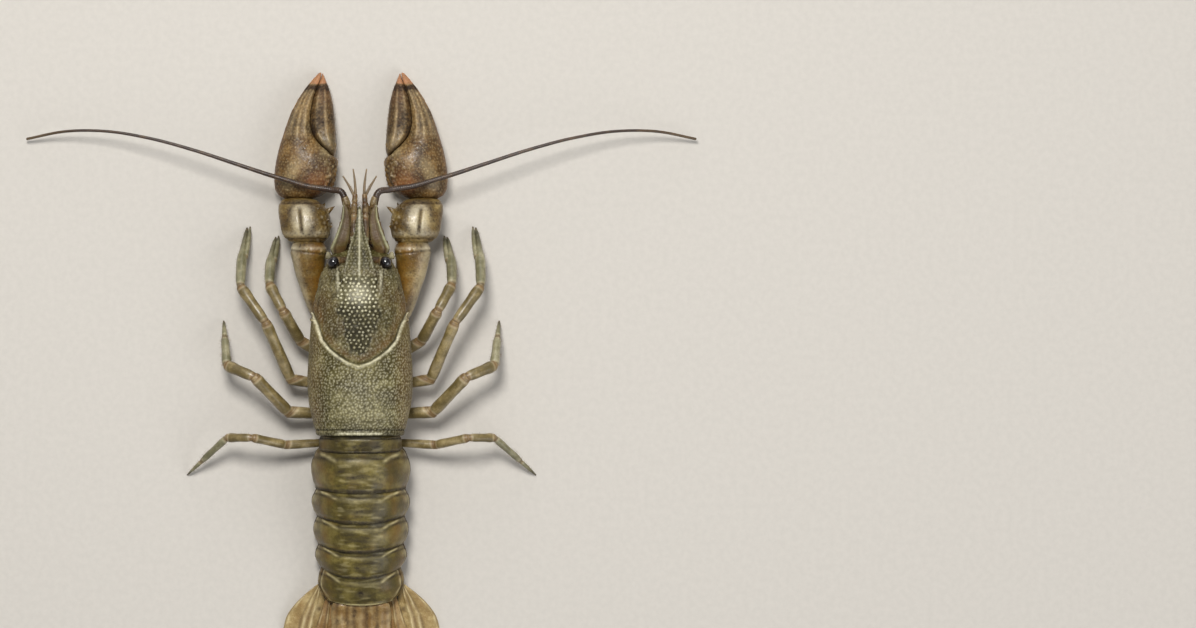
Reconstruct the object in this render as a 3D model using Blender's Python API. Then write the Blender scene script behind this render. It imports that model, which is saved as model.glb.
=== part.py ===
"""Crayfish, still and life size, seen as it lies in a museum case with claws and legs spread.

The head points to -Y, the animal's left side is +X, and it stands on Z = 0.
All sizes below are millimetres; meshes are made in metres.
"""

import math

import bmesh
import bpy
from mathutils import Vector

MM = 0.001
GAP = 0.3
HALF_GAP = GAP / 2
MERGE = 0.001
UP = Vector((0, 0, 1))

# Driving dimensions of the shell
CARAPACE_HALF_WIDTH = 9.36
CARAPACE_TOP = 19.3
BELLY_CLEARANCE = 5.6
STERNUM_LOW = 2.8
STERNUM_TOP = BELLY_CLEARANCE - GAP
ROSTRUM_TIP_Y = -31.3
CARAPACE_REAR_Y = 9.9

# Carapace stations: y, half width, top, height of the widest line, underside
CARAPACE = [
    (-23.1, 5.3, 11.8, 10.6, 9.4),
    (-22.3, 5.95, 12.9, 10.9, 8.9),
    (-21.0, 6.5, 14.9, 11.5, 8.5),
    (-19.7, 6.95, 16.7, 12.0, 8.2),
    (-17.0, 7.4, 17.5, 12.0, 7.8),
    (-13.3, 8.28, 18.3, 12.0, 7.2),
    (-9.4, 8.75, 18.9, 11.6, 6.4),
    (-5.0, 9.1, 19.2, 11.2, 5.8),
    (-1.0, CARAPACE_HALF_WIDTH, CARAPACE_TOP, 11.0, BELLY_CLEARANCE),
    (3.5, 9.15, 19.1, 11.0, BELLY_CLEARANCE),
    (6.8, 8.45, 18.4, 11.0, BELLY_CLEARANCE),
    (CARAPACE_REAR_Y, 7.75, 17.2, 10.8, 5.9),
]
CARAPACE_SIDES = 22

# The cervical groove in plan, from the left edge to the middle: x, y
GROOVE = [(12.0, -18.0), (8.5, -11.9), (7.65, -9.9), (6.75, -6.9), (5.4, -5.5),
          (3.7, -4.2), (1.95, -3.15), (0.0, -2.6)]

SHELL_FRONT = -40.0
SHELL_CUTTER_HEIGHT = 30.0

# Rostrum stations: y, half width, top of the margins, underside
ROSTRUM = [
    (ROSTRUM_TIP_Y, 0.22, 15.0, 14.5),
    (-29.8, 0.5, 15.5, 14.45),
    (-27.6, 0.82, 16.1, 14.5),
    (-26.2, 1.05, 16.4, 14.6),
    (-25.2, 1.42, 16.6, 14.7),
    (-23.0, 2.05, 17.0, 14.9),
    (-21.3, 2.5, 17.2, 15.0),
    (-19.3, 2.9, 17.6, 15.0),
    (-17.2, 3.0, 17.8, 15.0),
    (-14.0, 2.2, 17.6, 15.0),
]
# Beak in cross section: share of the half width, drop of the trough from its margin up to the keel
BEAK_MARGIN_DROP = 0.2
BEAK_MARGIN = 0.82
BEAK_TROUGH = 0.45
BEAK_TROUGH_DEPTH = 0.35
BEAK_TROUGH_SHARE = 0.25
BEAK_KEEL = 0.3
BEAK_BELOW = 0.6
BEAK_BELOW_RISE = 0.2

# Blocks under the beak and round the mouth: y, half width, top, underside
FACE = [(-24.6, 1.3, 12.5, 10.7), (-22.6, 2.6, 13.6, 9.6), (-19.0, 4.0, 15.5, 9.0)]
FACE_WIDE = 11.6
MOUTH = [(-23.6, 1.6, 9.8, 8.9), (-21.5, 2.6, 9.8, 7.4), (-16.0, 3.2, 9.8, 6.7),
         (-9.5, 3.0, 9.8, 6.2)]
MOUTH_WIDE = 8.0

# Spines of the shell on one side: x, y, z, direction, length, root radius
SHELL_SPINES = [
    ((1.3, -24.7, 16.3), (0.35, -1, 0.15), 1.4, 0.4),
    ((3.9, -19.4, 16.4), (0.1, -1, 0.35), 1.6, 0.5),
    ((6.0, -21.5, 11.6), (0.25, -1, 0.15), 2.0, 0.6),
    ((8.2, -11.9, 12.8), (0.8, -0.8, 0.1), 1.1, 0.45),
]
# Ridge behind the eye: x, y, z, half width, half height
EYE_RIDGE = [(3.9, -18.9, 16.75, 0.35, 0.35), (3.85, -16.9, 17.15, 0.35, 0.32),
             (3.6, -14.4, 17.35, 0.3, 0.3)]
SPINE_TIP_RADIUS = 0.08

# Plate between the leg roots: y, half width, underside
STERNUM = [(-8.7, 0.9, 3.6), (-6.5, 1.9, 3.0), (-3.0, 2.7, STERNUM_LOW), (2.0, 3.1, STERNUM_LOW),
           (7.0, 3.2, STERNUM_LOW), (11.0, 2.9, 3.1), (12.6, 2.0, 3.6)]
STERNUM_WIDE = 4.3
COXA_INNER_X = 1.6
COXA_INNER_Y = 0.94
COXA_INNER_Z = 4.0
COXA_INNER_SIZE = (2.1, 0.95)
# First joint of a leg: distance inward from its outer face, half width, half height
COXA = [(2.1, 1.95, 1.1), (0.8, 1.45, 1.0), (0.0, 1.05, 0.95)]

EYE = Vector((4.6, -21.15, 14.9))
EYE_RADIUS = 1.08
STALK_RADIUS = 0.72
EYE_STALK = [(2.3, -21.5, 14.15, 0.65, 0.65), (3.2, -21.4, 14.35, STALK_RADIUS, STALK_RADIUS),
             (4.3, -21.2, 14.8, 0.8, 0.8)]

# First antenna on one side, its stem and its two whips: x, y, z, half width, half height
ANTENNULE_STEM = [(0.95, -22.4, 13.4, 0.5, 0.5), (1.0, -26.0, 13.3, 0.6, 0.5),
                  (1.0, -30.0, 13.2, 0.55, 0.5), (0.95, -31.7, 13.2, 0.5, 0.5),
                  (0.85, -33.4, 13.2, 0.45, 0.42)]
ANTENNULE_OUTER = [(0.9, -32.9, 13.25, 0.3, 0.3), (1.9, -34.8, 13.4, 0.28, 0.28),
                   (3.0, -36.6, 13.5, 0.2, 0.2)]
ANTENNULE_INNER = [(0.75, -32.9, 13.1, 0.3, 0.3), (0.85, -35.2, 13.0, 0.28, 0.28),
                   (1.2, -37.9, 12.8, 0.2, 0.2)]

# Second antenna: stem stations, then its scale as y, inner x, outer x, height, thickness
ANTENNA_STEM = [(3.9, -23.5, 10.4, 1.5, 1.05), (3.6, -24.9, 10.4, 1.3, 1.05),
                (2.9, -27.4, 10.6, 1.05, 0.95), (2.55, -29.8, 10.8, 0.85, 0.85),
                (2.5, -31.6, 11.0, 0.78, 0.75), (2.82, -32.75, 11.1, 0.68, 0.65)]
ANTENNA_SCALE = [(-23.3, 2.6, 5.4, 11.3, 1.2), (-24.8, 2.1, 4.85, 12.0, 0.8),
                 (-27.0, 1.75, 3.95, 12.1, 0.7), (-29.2, 1.7, 3.2, 12.1, 0.7),
                 (-30.6, 2.0, 3.05, 12.15, 0.65), (-31.5, 2.6, 2.9, 12.2, 0.5)]
SCALE_RIDGES = (4,)
SCALE_COLUMNS = 6

# Third maxilliped, folded forward under the mouth
MAXILLIPED = [(1.4, -11.3, 4.6, 0.9, 0.9), (1.9, -13.4, 4.7, 1.4, 1.0), (2.35, -16.5, 4.8, 1.95, 1.05),
              (2.45, -20.0, 5.2, 2.1, 1.05), (2.3, -22.6, 5.7, 1.85, 1.05), (1.95, -24.2, 6.1, 1.25, 1.0),
              (1.85, -25.2, 6.4, 1.35, 1.05), (1.7, -27.6, 7.1, 1.2, 0.9), (1.2, -30.2, 7.9, 0.8, 0.65),
              (1.0, -31.8, 8.5, 0.4, 0.35)]

# Abdomen segments: name end, front y, rear y, rear bulge, half width front, middle and rear,
# top front, top rear, lower edge of the side plates front and rear
SEGMENTS = [
    ("1", 10.25, 12.9, 0.2, (7.2, 7.45, 7.3), 16.3, 15.7, 6.3, 6.3),
    ("2", 13.2, 20.2, 0.8, (8.3, 8.95, 8.35), 15.4, 14.6, 3.4, 3.0),
    ("3", 20.5, 25.7, 1.4, (8.3, 8.85, 8.2), 14.3, 13.3, 2.9, 2.6),
    ("4", 26.0, 30.95, 1.6, (8.15, 8.6, 7.9), 12.9, 11.6, 2.5, 2.2),
    ("5", 31.25, 35.65, 2.0, (7.9, 8.3, 7.4), 11.2, 9.7, 2.1, 2.0),
    ("6", 35.95, 40.4, 0.9, (7.7, 7.7, 6.0), 9.3, 6.6, 2.3, 3.5),
]
# Rings of a segment: share of its length, weights of the three half widths, swell of the width,
# share of the slope of the back, lift of the back
SEGMENT_RINGS = [
    (0.0, (1.0, 0.0, 0.0), 0.0, 0.0, -0.25),
    (0.16, (0.5, 0.5, 0.0), 0.12, 0.0, 0.0),
    (0.36, (0.0, 1.0, 0.0), 0.0, 0.4, 0.08),
    (0.58, (0.0, 1.0, 0.0), -0.04, 0.62, 0.1),
    (0.82, (0.0, 0.5, 0.5), 0.1, 1.0, 0.1),
    (1.0, (0.0, 0.0, 1.0), 0.0, 1.0, -0.1),
]
BULGE_BEFORE_FIRST = 0.1

# Half arch of an abdomen segment as shares of half width and of height: back, side plate, belly
ARCH = [(0.0, 1.0), (0.3, 0.975), (0.56, 0.89), (0.78, 0.73), (0.93, 0.5), (1.0, 0.27),
        (0.97, 0.1), (0.9, 0.0), (0.8, 0.06), (0.7, 0.24), (0.35, 0.27)]
BELLY_HEIGHT = 0.27
ARCH_PAIRS = [(i % 22, (11 - i) % 22) for i in range(-5, 6)]
PLEURA_LOBE = 0.72
PLEURA_SPREAD = 0.9
SWIMMERET_SEGMENTS = ("2", "3", "4", "5")
SWIMMERET_SPREAD = 0.52
SWIMMERET_SHIFT = 0.3
# Stalk and two blades of a swimmeret: share of x, y and z from its root, half width, half height
SWIMMERET = [
    [(1.02, -0.7, 0.7, 0.65, 0.45), (1.0, -0.3, -0.8, 0.55, 0.4), (0.94, 0.3, -1.5, 0.5, 0.36)],
    [(1.0, -0.1, -1.2, 0.4, 0.32), (1.08, 1.2, -1.75, 0.5, 0.27), (1.0, 2.3, -1.9, 0.3, 0.25)],
    [(0.92, 0.0, -1.3, 0.4, 0.32), (0.78, 1.3, -1.85, 0.5, 0.27), (0.74, 2.5, -2.0, 0.28, 0.25)],
]

# Telson and tail blades: y, inner x, outer x, height of the mid plane, thickness
TELSON = [
    (40.75, 5.2, 4.9, 2.4),
    (41.6, 5.35, 4.5, 1.9),
    (44.0, 5.25, 4.0, 1.2),
    (47.4, 5.2, 3.45, 0.95),
    (48.1, 4.8, 3.35, 0.95),
    (51.0, 4.6, 2.95, 0.85),
    (53.0, 3.9, 2.8, 0.8),
    (53.9, 2.4, 2.75, 0.75),
]
ENDOPOD = [
    (39.4, 4.6, 6.4, 2.55, 0.9),
    (40.9, 4.7, 7.0, 2.5, 0.9),
    (42.4, 4.6, 7.4, 2.4, 0.85),
    (44.4, 4.4, 8.1, 2.2, 0.8),
    (47.0, 4.2, 9.2, 1.9, 0.8),
    (50.0, 4.1, 9.8, 1.65, 0.75),
    (52.8, 4.3, 9.4, 1.55, 0.75),
    (54.6, 5.1, 8.2, 1.5, 0.7),
    (55.3, 6.0, 7.2, 1.5, 0.65),
]
EXOPOD = [
    (37.2, 7.45, 8.2, 2.3, 0.9),
    (38.4, 6.9, 9.8, 1.95, 0.9),
    (40.4, 6.6, 11.9, 1.45, 0.9),
    (42.6, 6.9, 13.45, 1.1, 0.8),
    (45.2, 7.4, 14.1, 0.75, 0.75),
    (48.2, 7.8, 14.3, 0.45, 0.75),
    (50.9, 8.1, 13.9, 0.35, 0.75),
    (51.5, 8.2, 13.5, 0.35, 0.62),
    (53.6, 8.7, 12.4, 0.32, 0.62),
    (55.0, 9.4, 10.8, 0.3, 0.6),
]
RIDGE_HEIGHT = 0.22
BLADE_EDGE = 0.45
TELSON_RIDGES = (2, 4, 6)
TELSON_COLUMNS = 9
ENDOPOD_RIDGES = (3,)
ENDOPOD_COLUMNS = 7
EXOPOD_RIDGES = (2, 4)
EXOPOD_COLUMNS = 8

# Claw stations: y, inner x, outer x, underside, top. Both fingers are shaped as one, then parted
PALM = [
    (-32.75, 8.6, 13.8, 2.2, 5.6),
    (-33.3, 7.2, 14.8, 1.1, 6.5),
    (-34.3, 5.9, 15.4, 0.4, 7.3),
    (-35.8, 4.9, 15.55, 0.0, 7.75),
    (-37.8, 4.4, 15.45, -0.35, 7.95),
    (-39.7, 4.25, 15.15, -0.35, 7.9),
    (-41.2, 5.6, 14.8, -0.35, 7.65),
    (-42.6, 7.0, 14.45, -0.35, 7.25),
    (-43.9, 8.2, 14.05, -0.3, 6.8),
    (-45.6, 8.9, 13.5, 0.0, 6.2),
    (-48.4, 8.9, 12.45, 0.15, 5.15),
    (-50.6, 8.5, 11.3, 0.3, 4.2),
    (-52.6, 7.9, 9.95, 0.5, 3.15),
    (-54.2, 7.3, 8.65, 0.75, 2.3),
    (-55.3, 7.2, 7.6, 1.1, 1.65),
]
DACTYL = [
    (-40.5, 4.7, 5.5, 1.8, 5.4),
    (-41.4, 4.45, 6.3, 0.8, 6.5),
    (-42.8, 4.45, 7.75, 0.35, 6.75),
    (-44.2, 4.55, 8.9, 0.25, 6.5),
    (-46.0, 4.7, 9.45, 0.25, 5.95),
    (-48.4, 4.95, 9.3, 0.25, 5.0),
    (-50.6, 5.3, 8.8, 0.35, 4.1),
    (-52.6, 5.85, 8.1, 0.55, 3.1),
    (-54.1, 6.45, 7.4, 0.8, 2.3),
    (-55.1, 6.85, 7.1, 1.1, 1.6),
]
PALM_POWER = 2.4
WRIST_POWER = 2.2
# Two rows of knobs along the inner edge of the palm
PALM_KNOBS = 7
KNOB_RADIUS = 0.55
UPPER_KNOB_RADIUS = 0.47
KNOBS_START_Y = -34.9
KNOB_SPACING = 0.84
KNOB_X = 4.75
KNOB_BEND = 0.05
KNOB_BEND_FROM = 4
KNOB_HEIGHT = 4.9
KNOB_RISE = 0.08
UPPER_KNOB_SHIFT = (0.75, -0.35, 1.55)
UPPER_KNOB_RISE = 0.06
CARPUS = [
    (-24.75, 6.6, 12.4, 4.3, 8.7),
    (-25.3, 5.9, 13.4, 3.5, 9.6),
    (-26.6, 5.45, 14.2, 2.9, 10.2),
    (-28.6, 5.4, 14.6, 2.6, 10.3),
    (-30.5, 5.9, 14.85, 2.5, 9.7),
    (-31.8, 7.0, 14.7, 2.6, 8.6),
    (-32.45, 8.2, 14.1, 3.0, 7.4),
]
# Cheliped limb: x, y, z, half width, half height
CHELIPED = [
    (2.2, -9.5, 4.1, 1.35, 1.2),
    (4.2, -8.9, 4.2, 1.6, 1.35),
    (6.3, -10.4, 4.4, 1.75, 1.5),
    (7.3, -12.6, 4.7, 1.95, 1.75),
    (8.6, -16.8, 5.4, 2.3, 2.25),
    (9.3, -21.4, 6.2, 3.0, 2.85),
    (9.35, -23.6, 6.5, 3.25, 2.95),
    (9.35, -24.45, 6.5, 3.1, 2.8),
]
CHELIPED_SPLIT = 2
CHELIPED_SIDES = 12
# Spines of the arm: x, y, z, then how far each leans to the side and up
ARM_SPINES = [(7.0, -22.6, 7.9, -0.5, 0.5), (9.5, -22.8, 8.7, 0.1, 0.6),
              (6.7, -19.5, 5.0, -0.9, -0.1), (7.2, -22.3, 4.6, -0.6, -0.5),
              (7.6, -17.2, 3.9, -0.7, -0.6), (8.6, -21.6, 3.9, 0.0, -0.8)]
ARM_SPINE_LENGTH = 1.5
ARM_SPINE_RADIUS = 0.5
WRIST_SPINES = [((6.6, -29.9, 6.6), (-1, -0.75, 0.1), 2.3, 0.75),
                ((6.2, -27.0, 6.6), (-1, -0.5, 0.2), 1.2, 0.5),
                ((7.2, -31.0, 4.2), (-0.7, -1, -0.3), 1.4, 0.5)]

# Walking legs: root, end of the ischium, knee, wrist and tip
LEGS = {
    "2": ((6.2, -4.2, 4.3), (10.9, -7.0, 5.3), (13.9, -12.4, 8.6), (16.4, -17.1, 6.9), (15.2, -25.9, 0.24)),
    "3": ((6.6, 0.9, 4.3), (12.6, -0.1, 5.6), (17.0, -10.3, 9.2), (21.6, -16.8, 7.4), (20.35, -27.6, 0.24)),
    "4": ((6.6, 6.1, 4.3), (13.0, 5.8, 5.7), (19.0, -0.5, 9.4), (24.1, -2.6, 7.0), (24.9, -10.6, 0.24)),
    "5": ((6.0, 11.3, 4.1), (13.5, 11.7, 5.6), (19.4, 10.4, 8.4), (24.1, 10.4, 6.6), (31.5, 17.2, 0.2)),
}
LEG_HALF_WIDTHS = {"2": 1.0, "3": 1.0, "4": 1.05, "5": 0.78}
# Rings of a leg: joint it starts from, share of the way to the next one, width and height
# against the half width
LEG_RINGS = [
    (0, 0.0, 0.95, 0.95), (0, 0.75, 0.98, 1.0),
    (1, 0.0, 1.0, 1.1), (1, 0.2, 0.98, 1.2), (1, 0.55, 1.0, 1.22), (1, 0.9, 0.98, 1.1),
    (2, 0.0, 0.82, 0.86), (2, 0.16, 0.9, 0.95), (2, 0.6, 0.9, 1.0), (2, 0.88, 0.98, 1.0),
    (3, 0.0, 0.84, 0.86),
]
LEG_SPLITS = (6, 10)
LAST_JOINT = 3
# Pointed end of legs 4 and 5, from the last joint on: share, width, height
POINTED_END = [(0.08, 0.76, 0.8), (0.35, 0.7, 0.8), (0.64, 0.56, 0.64), (0.7, 0.46, 0.5),
               (0.9, 0.38, 0.42), (1.0, 0.28, 0.28)]
# Small pincers of legs 2 and 3: share, width, height, share of the bow; then both fingers
PINCER_PALM = [(0.1, 0.86, 0.9, 0.3), (0.35, 0.95, 1.1, 1.0), (0.55, 0.86, 1.0, 1.0)]
PINCER_FINGER = [(0.8, 0.38, 0.5, 1.0), (1.0, 0.25, 0.26, 0.0)]
PINCER_TIP_SHIFT = (0.28, 0.2, 0.0)
PINCER_ROOT = 0.42
PINCER_THUMB = [(0.0, 0.4, 0.6), (0.5, 0.42, 0.55), (1.0, 0.25, 0.26)]
PINCER_THUMB_SHIFT = (-0.3, 0.0, 0.0)
CHELA_BOW = 0.3
CHELATE_LEGS = ("2", "3")
LEG_SIDES = 8

# Flagellum of the second antenna: x, y, z
FLAGELLUM = [
    (2.95, -33.1, 11.1), (3.35, -33.8, 11.0), (5.2, -34.2, 10.3), (9.8, -34.95, 9.5),
    (13.0, -35.9, 9.3), (15.9, -36.75, 9.1), (22.3, -38.85, 8.5), (30.1, -41.4, 7.6),
    (37.9, -43.5, 6.5), (45.7, -44.8, 5.2), (53.5, -44.8, 3.6), (60.5, -43.5, 1.6),
]
FLAGELLUM_SPLIT_X = 19.0
FLAGELLUM_BASE_RADIUS = 0.58
FLAGELLUM_TIP_RADIUS = 0.25
FLAGELLUM_TAPER = 0.3

SHELL = (0.17, 0.15, 0.08)
LIMB = (0.36, 0.27, 0.13)
CLAW = (0.25, 0.13, 0.08)
PALE = (0.55, 0.46, 0.28)
DARK = (0.05, 0.04, 0.03)
TAIL = (0.34, 0.27, 0.13)


def clear_scene():
    for old in list(bpy.data.objects):
        bpy.data.objects.remove(old, do_unlink=True)


def new_collection(name):
    group = bpy.data.collections.new(name)
    bpy.context.scene.collection.children.link(group)
    return group


def as_object(shape, name="piece"):
    """Turn a bmesh into an object of the working collection."""
    mesh = bpy.data.meshes.new(name)
    shape.to_mesh(mesh)
    shape.free()
    piece = bpy.data.objects.new(name, mesh)
    working.objects.link(piece)
    return piece


def strip_end(shape, row, pairs):
    """Close a ring with strips between its upper and its lower line, so that a bowed end stays bowed."""
    for (top, low), (next_top, next_low) in zip(pairs, pairs[1:]):
        shape.faces.new((row[top], row[next_top], row[next_low]))
        shape.faces.new((row[top], row[next_low], row[low]))


def loft(rings, pairs=None):
    """Closed surface through rings of equal count; pairs of points close bowed or thin ends."""
    shape = bmesh.new()
    rows = [[shape.verts.new(point * MM) for point in ring] for ring in rings]
    count = len(rows[0])
    for near, far in zip(rows, rows[1:]):
        for i in range(count):
            j = (i + 1) % count
            if i < count // 2:
                shape.faces.new((near[i], near[j], far[j]))
                shape.faces.new((near[i], far[j], far[i]))
            else:
                shape.faces.new((near[i], near[j], far[i]))
                shape.faces.new((near[j], far[j], far[i]))
    if pairs:
        strip_end(shape, rows[0], pairs)
        strip_end(shape, rows[-1], pairs)
    else:
        ends = [shape.faces.new(rows[0]), shape.faces.new(rows[-1])]
        bmesh.ops.triangulate(shape, faces=ends, ngon_method="EAR_CLIP")
    bmesh.ops.recalc_face_normals(shape, faces=shape.faces)
    return as_object(shape)


def bent(value, power):
    return math.copysign(abs(value) ** (2 / power), value)


def body_ring(y, half_width, top, wide, low, power=2.2, low_power=2.8, count=CARAPACE_SIDES):
    ring = []
    for i in range(count):
        angle = 2 * math.pi * i / count
        side, rise = math.cos(angle), math.sin(angle)
        if rise >= 0:
            z = wide + (top - wide) * bent(rise, power)
            ring.append(Vector((half_width * bent(side, power), y, z)))
        else:
            x = half_width * bent(side, low_power)
            ring.append(Vector((x, y, wide + (wide - low) * bent(rise, low_power))))
    return ring


def block_ring(y, x_in, x_out, low, top, side, power=PALM_POWER, count=14):
    """Ring of a claw at one y: rounded over the top, flattened where it meets the floor."""
    ring = []
    middle = (x_in + x_out) / 2
    half = (x_out - x_in) / 2
    height = (top + low) / 2
    rise = (top - low) / 2
    for i in range(count):
        angle = 2 * math.pi * (i + 0.5) / count
        x = middle + half * bent(math.cos(angle), power)
        z = height + rise * bent(math.sin(angle), power)
        ring.append(Vector((side * x, y, max(z, 0))))
    return ring


def limb_frames(points):
    """Direction of a limb at each station, halved between its neighbours at a bend."""
    frames = []
    for i, point in enumerate(points):
        before = (point - points[i - 1]).normalized() if i > 0 else None
        after = (points[i + 1] - point).normalized() if i < len(points) - 1 else None
        along = (before or after) + (after or before)
        frames.append(along.normalized())
    return frames


def limb_ring(point, along, half_width, half_height, sides, power=2.15):
    across = along.cross(UP).normalized()
    rise = across.cross(along)
    ring = []
    for i in range(sides):
        angle = 2 * math.pi * (i + 0.5) / sides
        place = point + across * half_width * bent(math.cos(angle), power)
        place += rise * half_height * bent(math.sin(angle), power)
        place.z = max(place.z, 0)
        ring.append(place)
    return ring


def limb(stations, splits=(), sides=LEG_SIDES):
    """Lofts along stations (x, y, z, half width, half height), parted by a gap at each split."""
    points = [Vector(station[:3]) for station in stations]
    frames = limb_frames(points)
    lengths = [[]]
    for i, (point, along, station) in enumerate(zip(points, frames, stations)):
        sizes = station[3:5]
        if i in splits:
            lengths[-1].append(limb_ring(point - along * HALF_GAP, along, *sizes, sides))
            lengths.append([limb_ring(point + along * HALF_GAP, along, *sizes, sides)])
        else:
            lengths[-1].append(limb_ring(point, along, *sizes, sides))
    return [loft(rings) for rings in lengths]


def spine(base, direction, length, radius, sides=5):
    """Cone with its root sunk under the surface that it grows from."""
    shape = bmesh.new()
    bmesh.ops.create_cone(shape, cap_ends=True, cap_tris=True, segments=sides,
                          radius1=radius * MM, radius2=SPINE_TIP_RADIUS * MM, depth=length * MM)
    turn = UP.rotation_difference(Vector(direction).normalized())
    middle = Vector(base) + Vector(direction).normalized() * length * 0.5
    for vert in shape.verts:
        vert.co = turn @ vert.co + middle * MM
    bmesh.ops.triangulate(shape, faces=shape.faces)
    return as_object(shape)


def ball(centre, radius, rings=6, segments=10, stretch=(1, 1, 1)):
    shape = bmesh.new()
    bmesh.ops.create_uvsphere(shape, u_segments=segments, v_segments=rings, radius=radius * MM)
    for vert in shape.verts:
        vert.co = Vector(a * b for a, b in zip(vert.co, stretch)) + Vector(centre) * MM
    bmesh.ops.triangulate(shape, faces=shape.faces)
    return as_object(shape)


def boolean(target, operation, other):
    """Apply one Boolean of target with an object or a collection."""
    modifier = target.modifiers.new("join", "BOOLEAN")
    modifier.operation = operation
    if isinstance(other, bpy.types.Collection):
        modifier.operand_type = "COLLECTION"
        modifier.collection = other
    else:
        modifier.object = other
    graph = bpy.context.evaluated_depsgraph_get()
    result = bpy.data.meshes.new_from_object(target.evaluated_get(graph))
    target.modifiers.clear()
    target.data = result


def largest_surface(target):
    """Keep only the closed surface with the most room inside it."""
    shape = bmesh.new()
    shape.from_mesh(target.data)
    bmesh.ops.remove_doubles(shape, verts=shape.verts, dist=MERGE * MM)
    bmesh.ops.triangulate(shape, faces=shape.faces)
    left = set(shape.faces)
    surfaces = []
    while left:
        stack = [left.pop()]
        found = set(stack)
        while stack:
            for edge in stack.pop().edges:
                for face in edge.link_faces:
                    if face in left:
                        left.discard(face)
                        found.add(face)
                        stack.append(face)
        surfaces.append(found)

    def room(surface):
        corners = [[vert.co for vert in face.verts] for face in surface]
        return abs(sum(a.dot(b.cross(c)) for a, b, c in corners))

    keep = max(surfaces, key=room)
    bmesh.ops.delete(shape, geom=[face for face in shape.faces if face not in keep], context="FACES")
    shape.to_mesh(target.data)
    shape.free()


def fuse(pieces):
    """Join closed pieces into one closed body by a Boolean union on a collection."""
    body, others = pieces[0], pieces[1:]
    if not others:
        return body
    group = new_collection("joining")
    for piece in others:
        working.objects.unlink(piece)
        group.objects.link(piece)
    boolean(body, "UNION", group)
    for piece in others:
        bpy.data.objects.remove(piece, do_unlink=True)
    bpy.data.collections.remove(group)
    largest_surface(body)
    return body


def inflated(source, distance=GAP):
    """Copy of a piece whose surface stands out all round, for cutting a clearance."""
    shape = bmesh.new()
    shape.from_mesh(source.data)
    shape.normal_update()
    for vert, normal in [(vert, vert.normal.copy()) for vert in shape.verts]:
        vert.co += normal * distance * MM
    return as_object(shape, "clearance")


def clear_of(target, neighbours, distance=GAP):
    """Cut a piece back so that it keeps a gap to pieces that lie against it."""
    for neighbour in neighbours:
        cutter = inflated(neighbour, distance)
        boolean(target, "DIFFERENCE", cutter)
        bpy.data.objects.remove(cutter, do_unlink=True)
    largest_surface(target)
    return target


def finish(piece, name, colour, roughness=0.4):
    """Name a finished node, give it its material and put it in the object's collection."""
    working.objects.unlink(piece)
    crayfish.objects.link(piece)
    piece.name = name
    piece.data.name = name
    look = bpy.data.materials.new(name)
    look.use_nodes = True
    shader = look.node_tree.nodes["Principled BSDF"]
    shader.inputs["Base Color"].default_value = (*colour, 1)
    shader.inputs["Roughness"].default_value = roughness
    shader.inputs["Metallic"].default_value = 0
    piece.data.materials.clear()
    piece.data.materials.append(look)
    piece.data.shade_smooth()
    piece.data.set_sharp_from_angle(angle=math.radians(40))
    return piece


def side_name(side):
    return "left" if side > 0 else "right"


def mirrored(point, side):
    return Vector((point[0] * side, point[1], point[2]))


def sided_limb(stations, side, sides=LEG_SIDES):
    """One limb of the left or the right side from stations given for the left."""
    return limb([(side * x, *rest) for x, *rest in stations], sides=sides)[0]


def groove_prism(shift):
    """Everything in front of the cervical groove, its edge moved back by shift square to the groove."""
    line = GROOVE + [(-x, y) for x, y in reversed(GROOVE[:-1])]
    outline = [(line[0][0], SHELL_FRONT)]
    for i, (x, y) in enumerate(line):
        before, after = line[max(i - 1, 0)], line[min(i + 1, len(line) - 1)]
        along = Vector((after[0] - before[0], after[1] - before[1])).normalized()
        outline.append((x + along.y * shift, y - along.x * shift))
    outline.append((line[-1][0], SHELL_FRONT))
    shape = bmesh.new()
    base = [shape.verts.new(Vector((x, y, 0)) * MM) for x, y in outline]
    floor = shape.faces.new(base)
    raised = bmesh.ops.extrude_face_region(shape, geom=[floor])["geom"]
    bmesh.ops.translate(shape, vec=UP * SHELL_CUTTER_HEIGHT * MM,
                        verts=[part for part in raised if isinstance(part, bmesh.types.BMVert)])
    bmesh.ops.recalc_face_normals(shape, faces=shape.faces)
    bmesh.ops.triangulate(shape, faces=shape.faces)
    return as_object(shape)


def rostrum():
    """Beak with raised margins, a shallow trough and a low keel along its middle."""
    rings = []
    for y, half, top, low in ROSTRUM:
        trough = min(BEAK_TROUGH_DEPTH, half * BEAK_TROUGH_SHARE)
        outline = [(half, top - half * BEAK_MARGIN_DROP), (half * BEAK_MARGIN, top)]
        outline.append((half * BEAK_TROUGH, top - trough))
        outline.append((0, top - trough * BEAK_KEEL))
        outline += [(-x, z) for x, z in reversed(outline[:3])]
        below, rise = half * BEAK_BELOW, low + BEAK_BELOW_RISE
        outline += [(-below, rise), (0, low), (below, rise)]
        rings.append([Vector((x, y, z)) for x, z in outline])
    return loft(rings)


def carapace():
    return loft([body_ring(*station) for station in CARAPACE])


def head(eyes, antennules):
    """Front of the shell with rostrum, orbits, cheeks and the block that carries the mouth."""
    mouth = loft([body_ring(y, half, top, MOUTH_WIDE, low, count=10) for y, half, top, low in MOUTH])
    face = loft([body_ring(y, half, top, FACE_WIDE, low, count=10) for y, half, top, low in FACE])
    pieces = [carapace(), rostrum(), mouth, face]
    for side in (1, -1):
        pieces.append(sided_limb(EYE_RIDGE, side, sides=6))
        for root, direction, length, radius in SHELL_SPINES:
            pieces.append(spine(mirrored(root, side), mirrored(direction, side), length, radius))
    whole = fuse(pieces)
    front = groove_prism(-HALF_GAP)
    boolean(whole, "INTERSECT", front)
    bpy.data.objects.remove(front, do_unlink=True)
    largest_surface(whole)
    return finish(clear_of(whole, eyes + antennules), "head", SHELL, 0.35)


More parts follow.
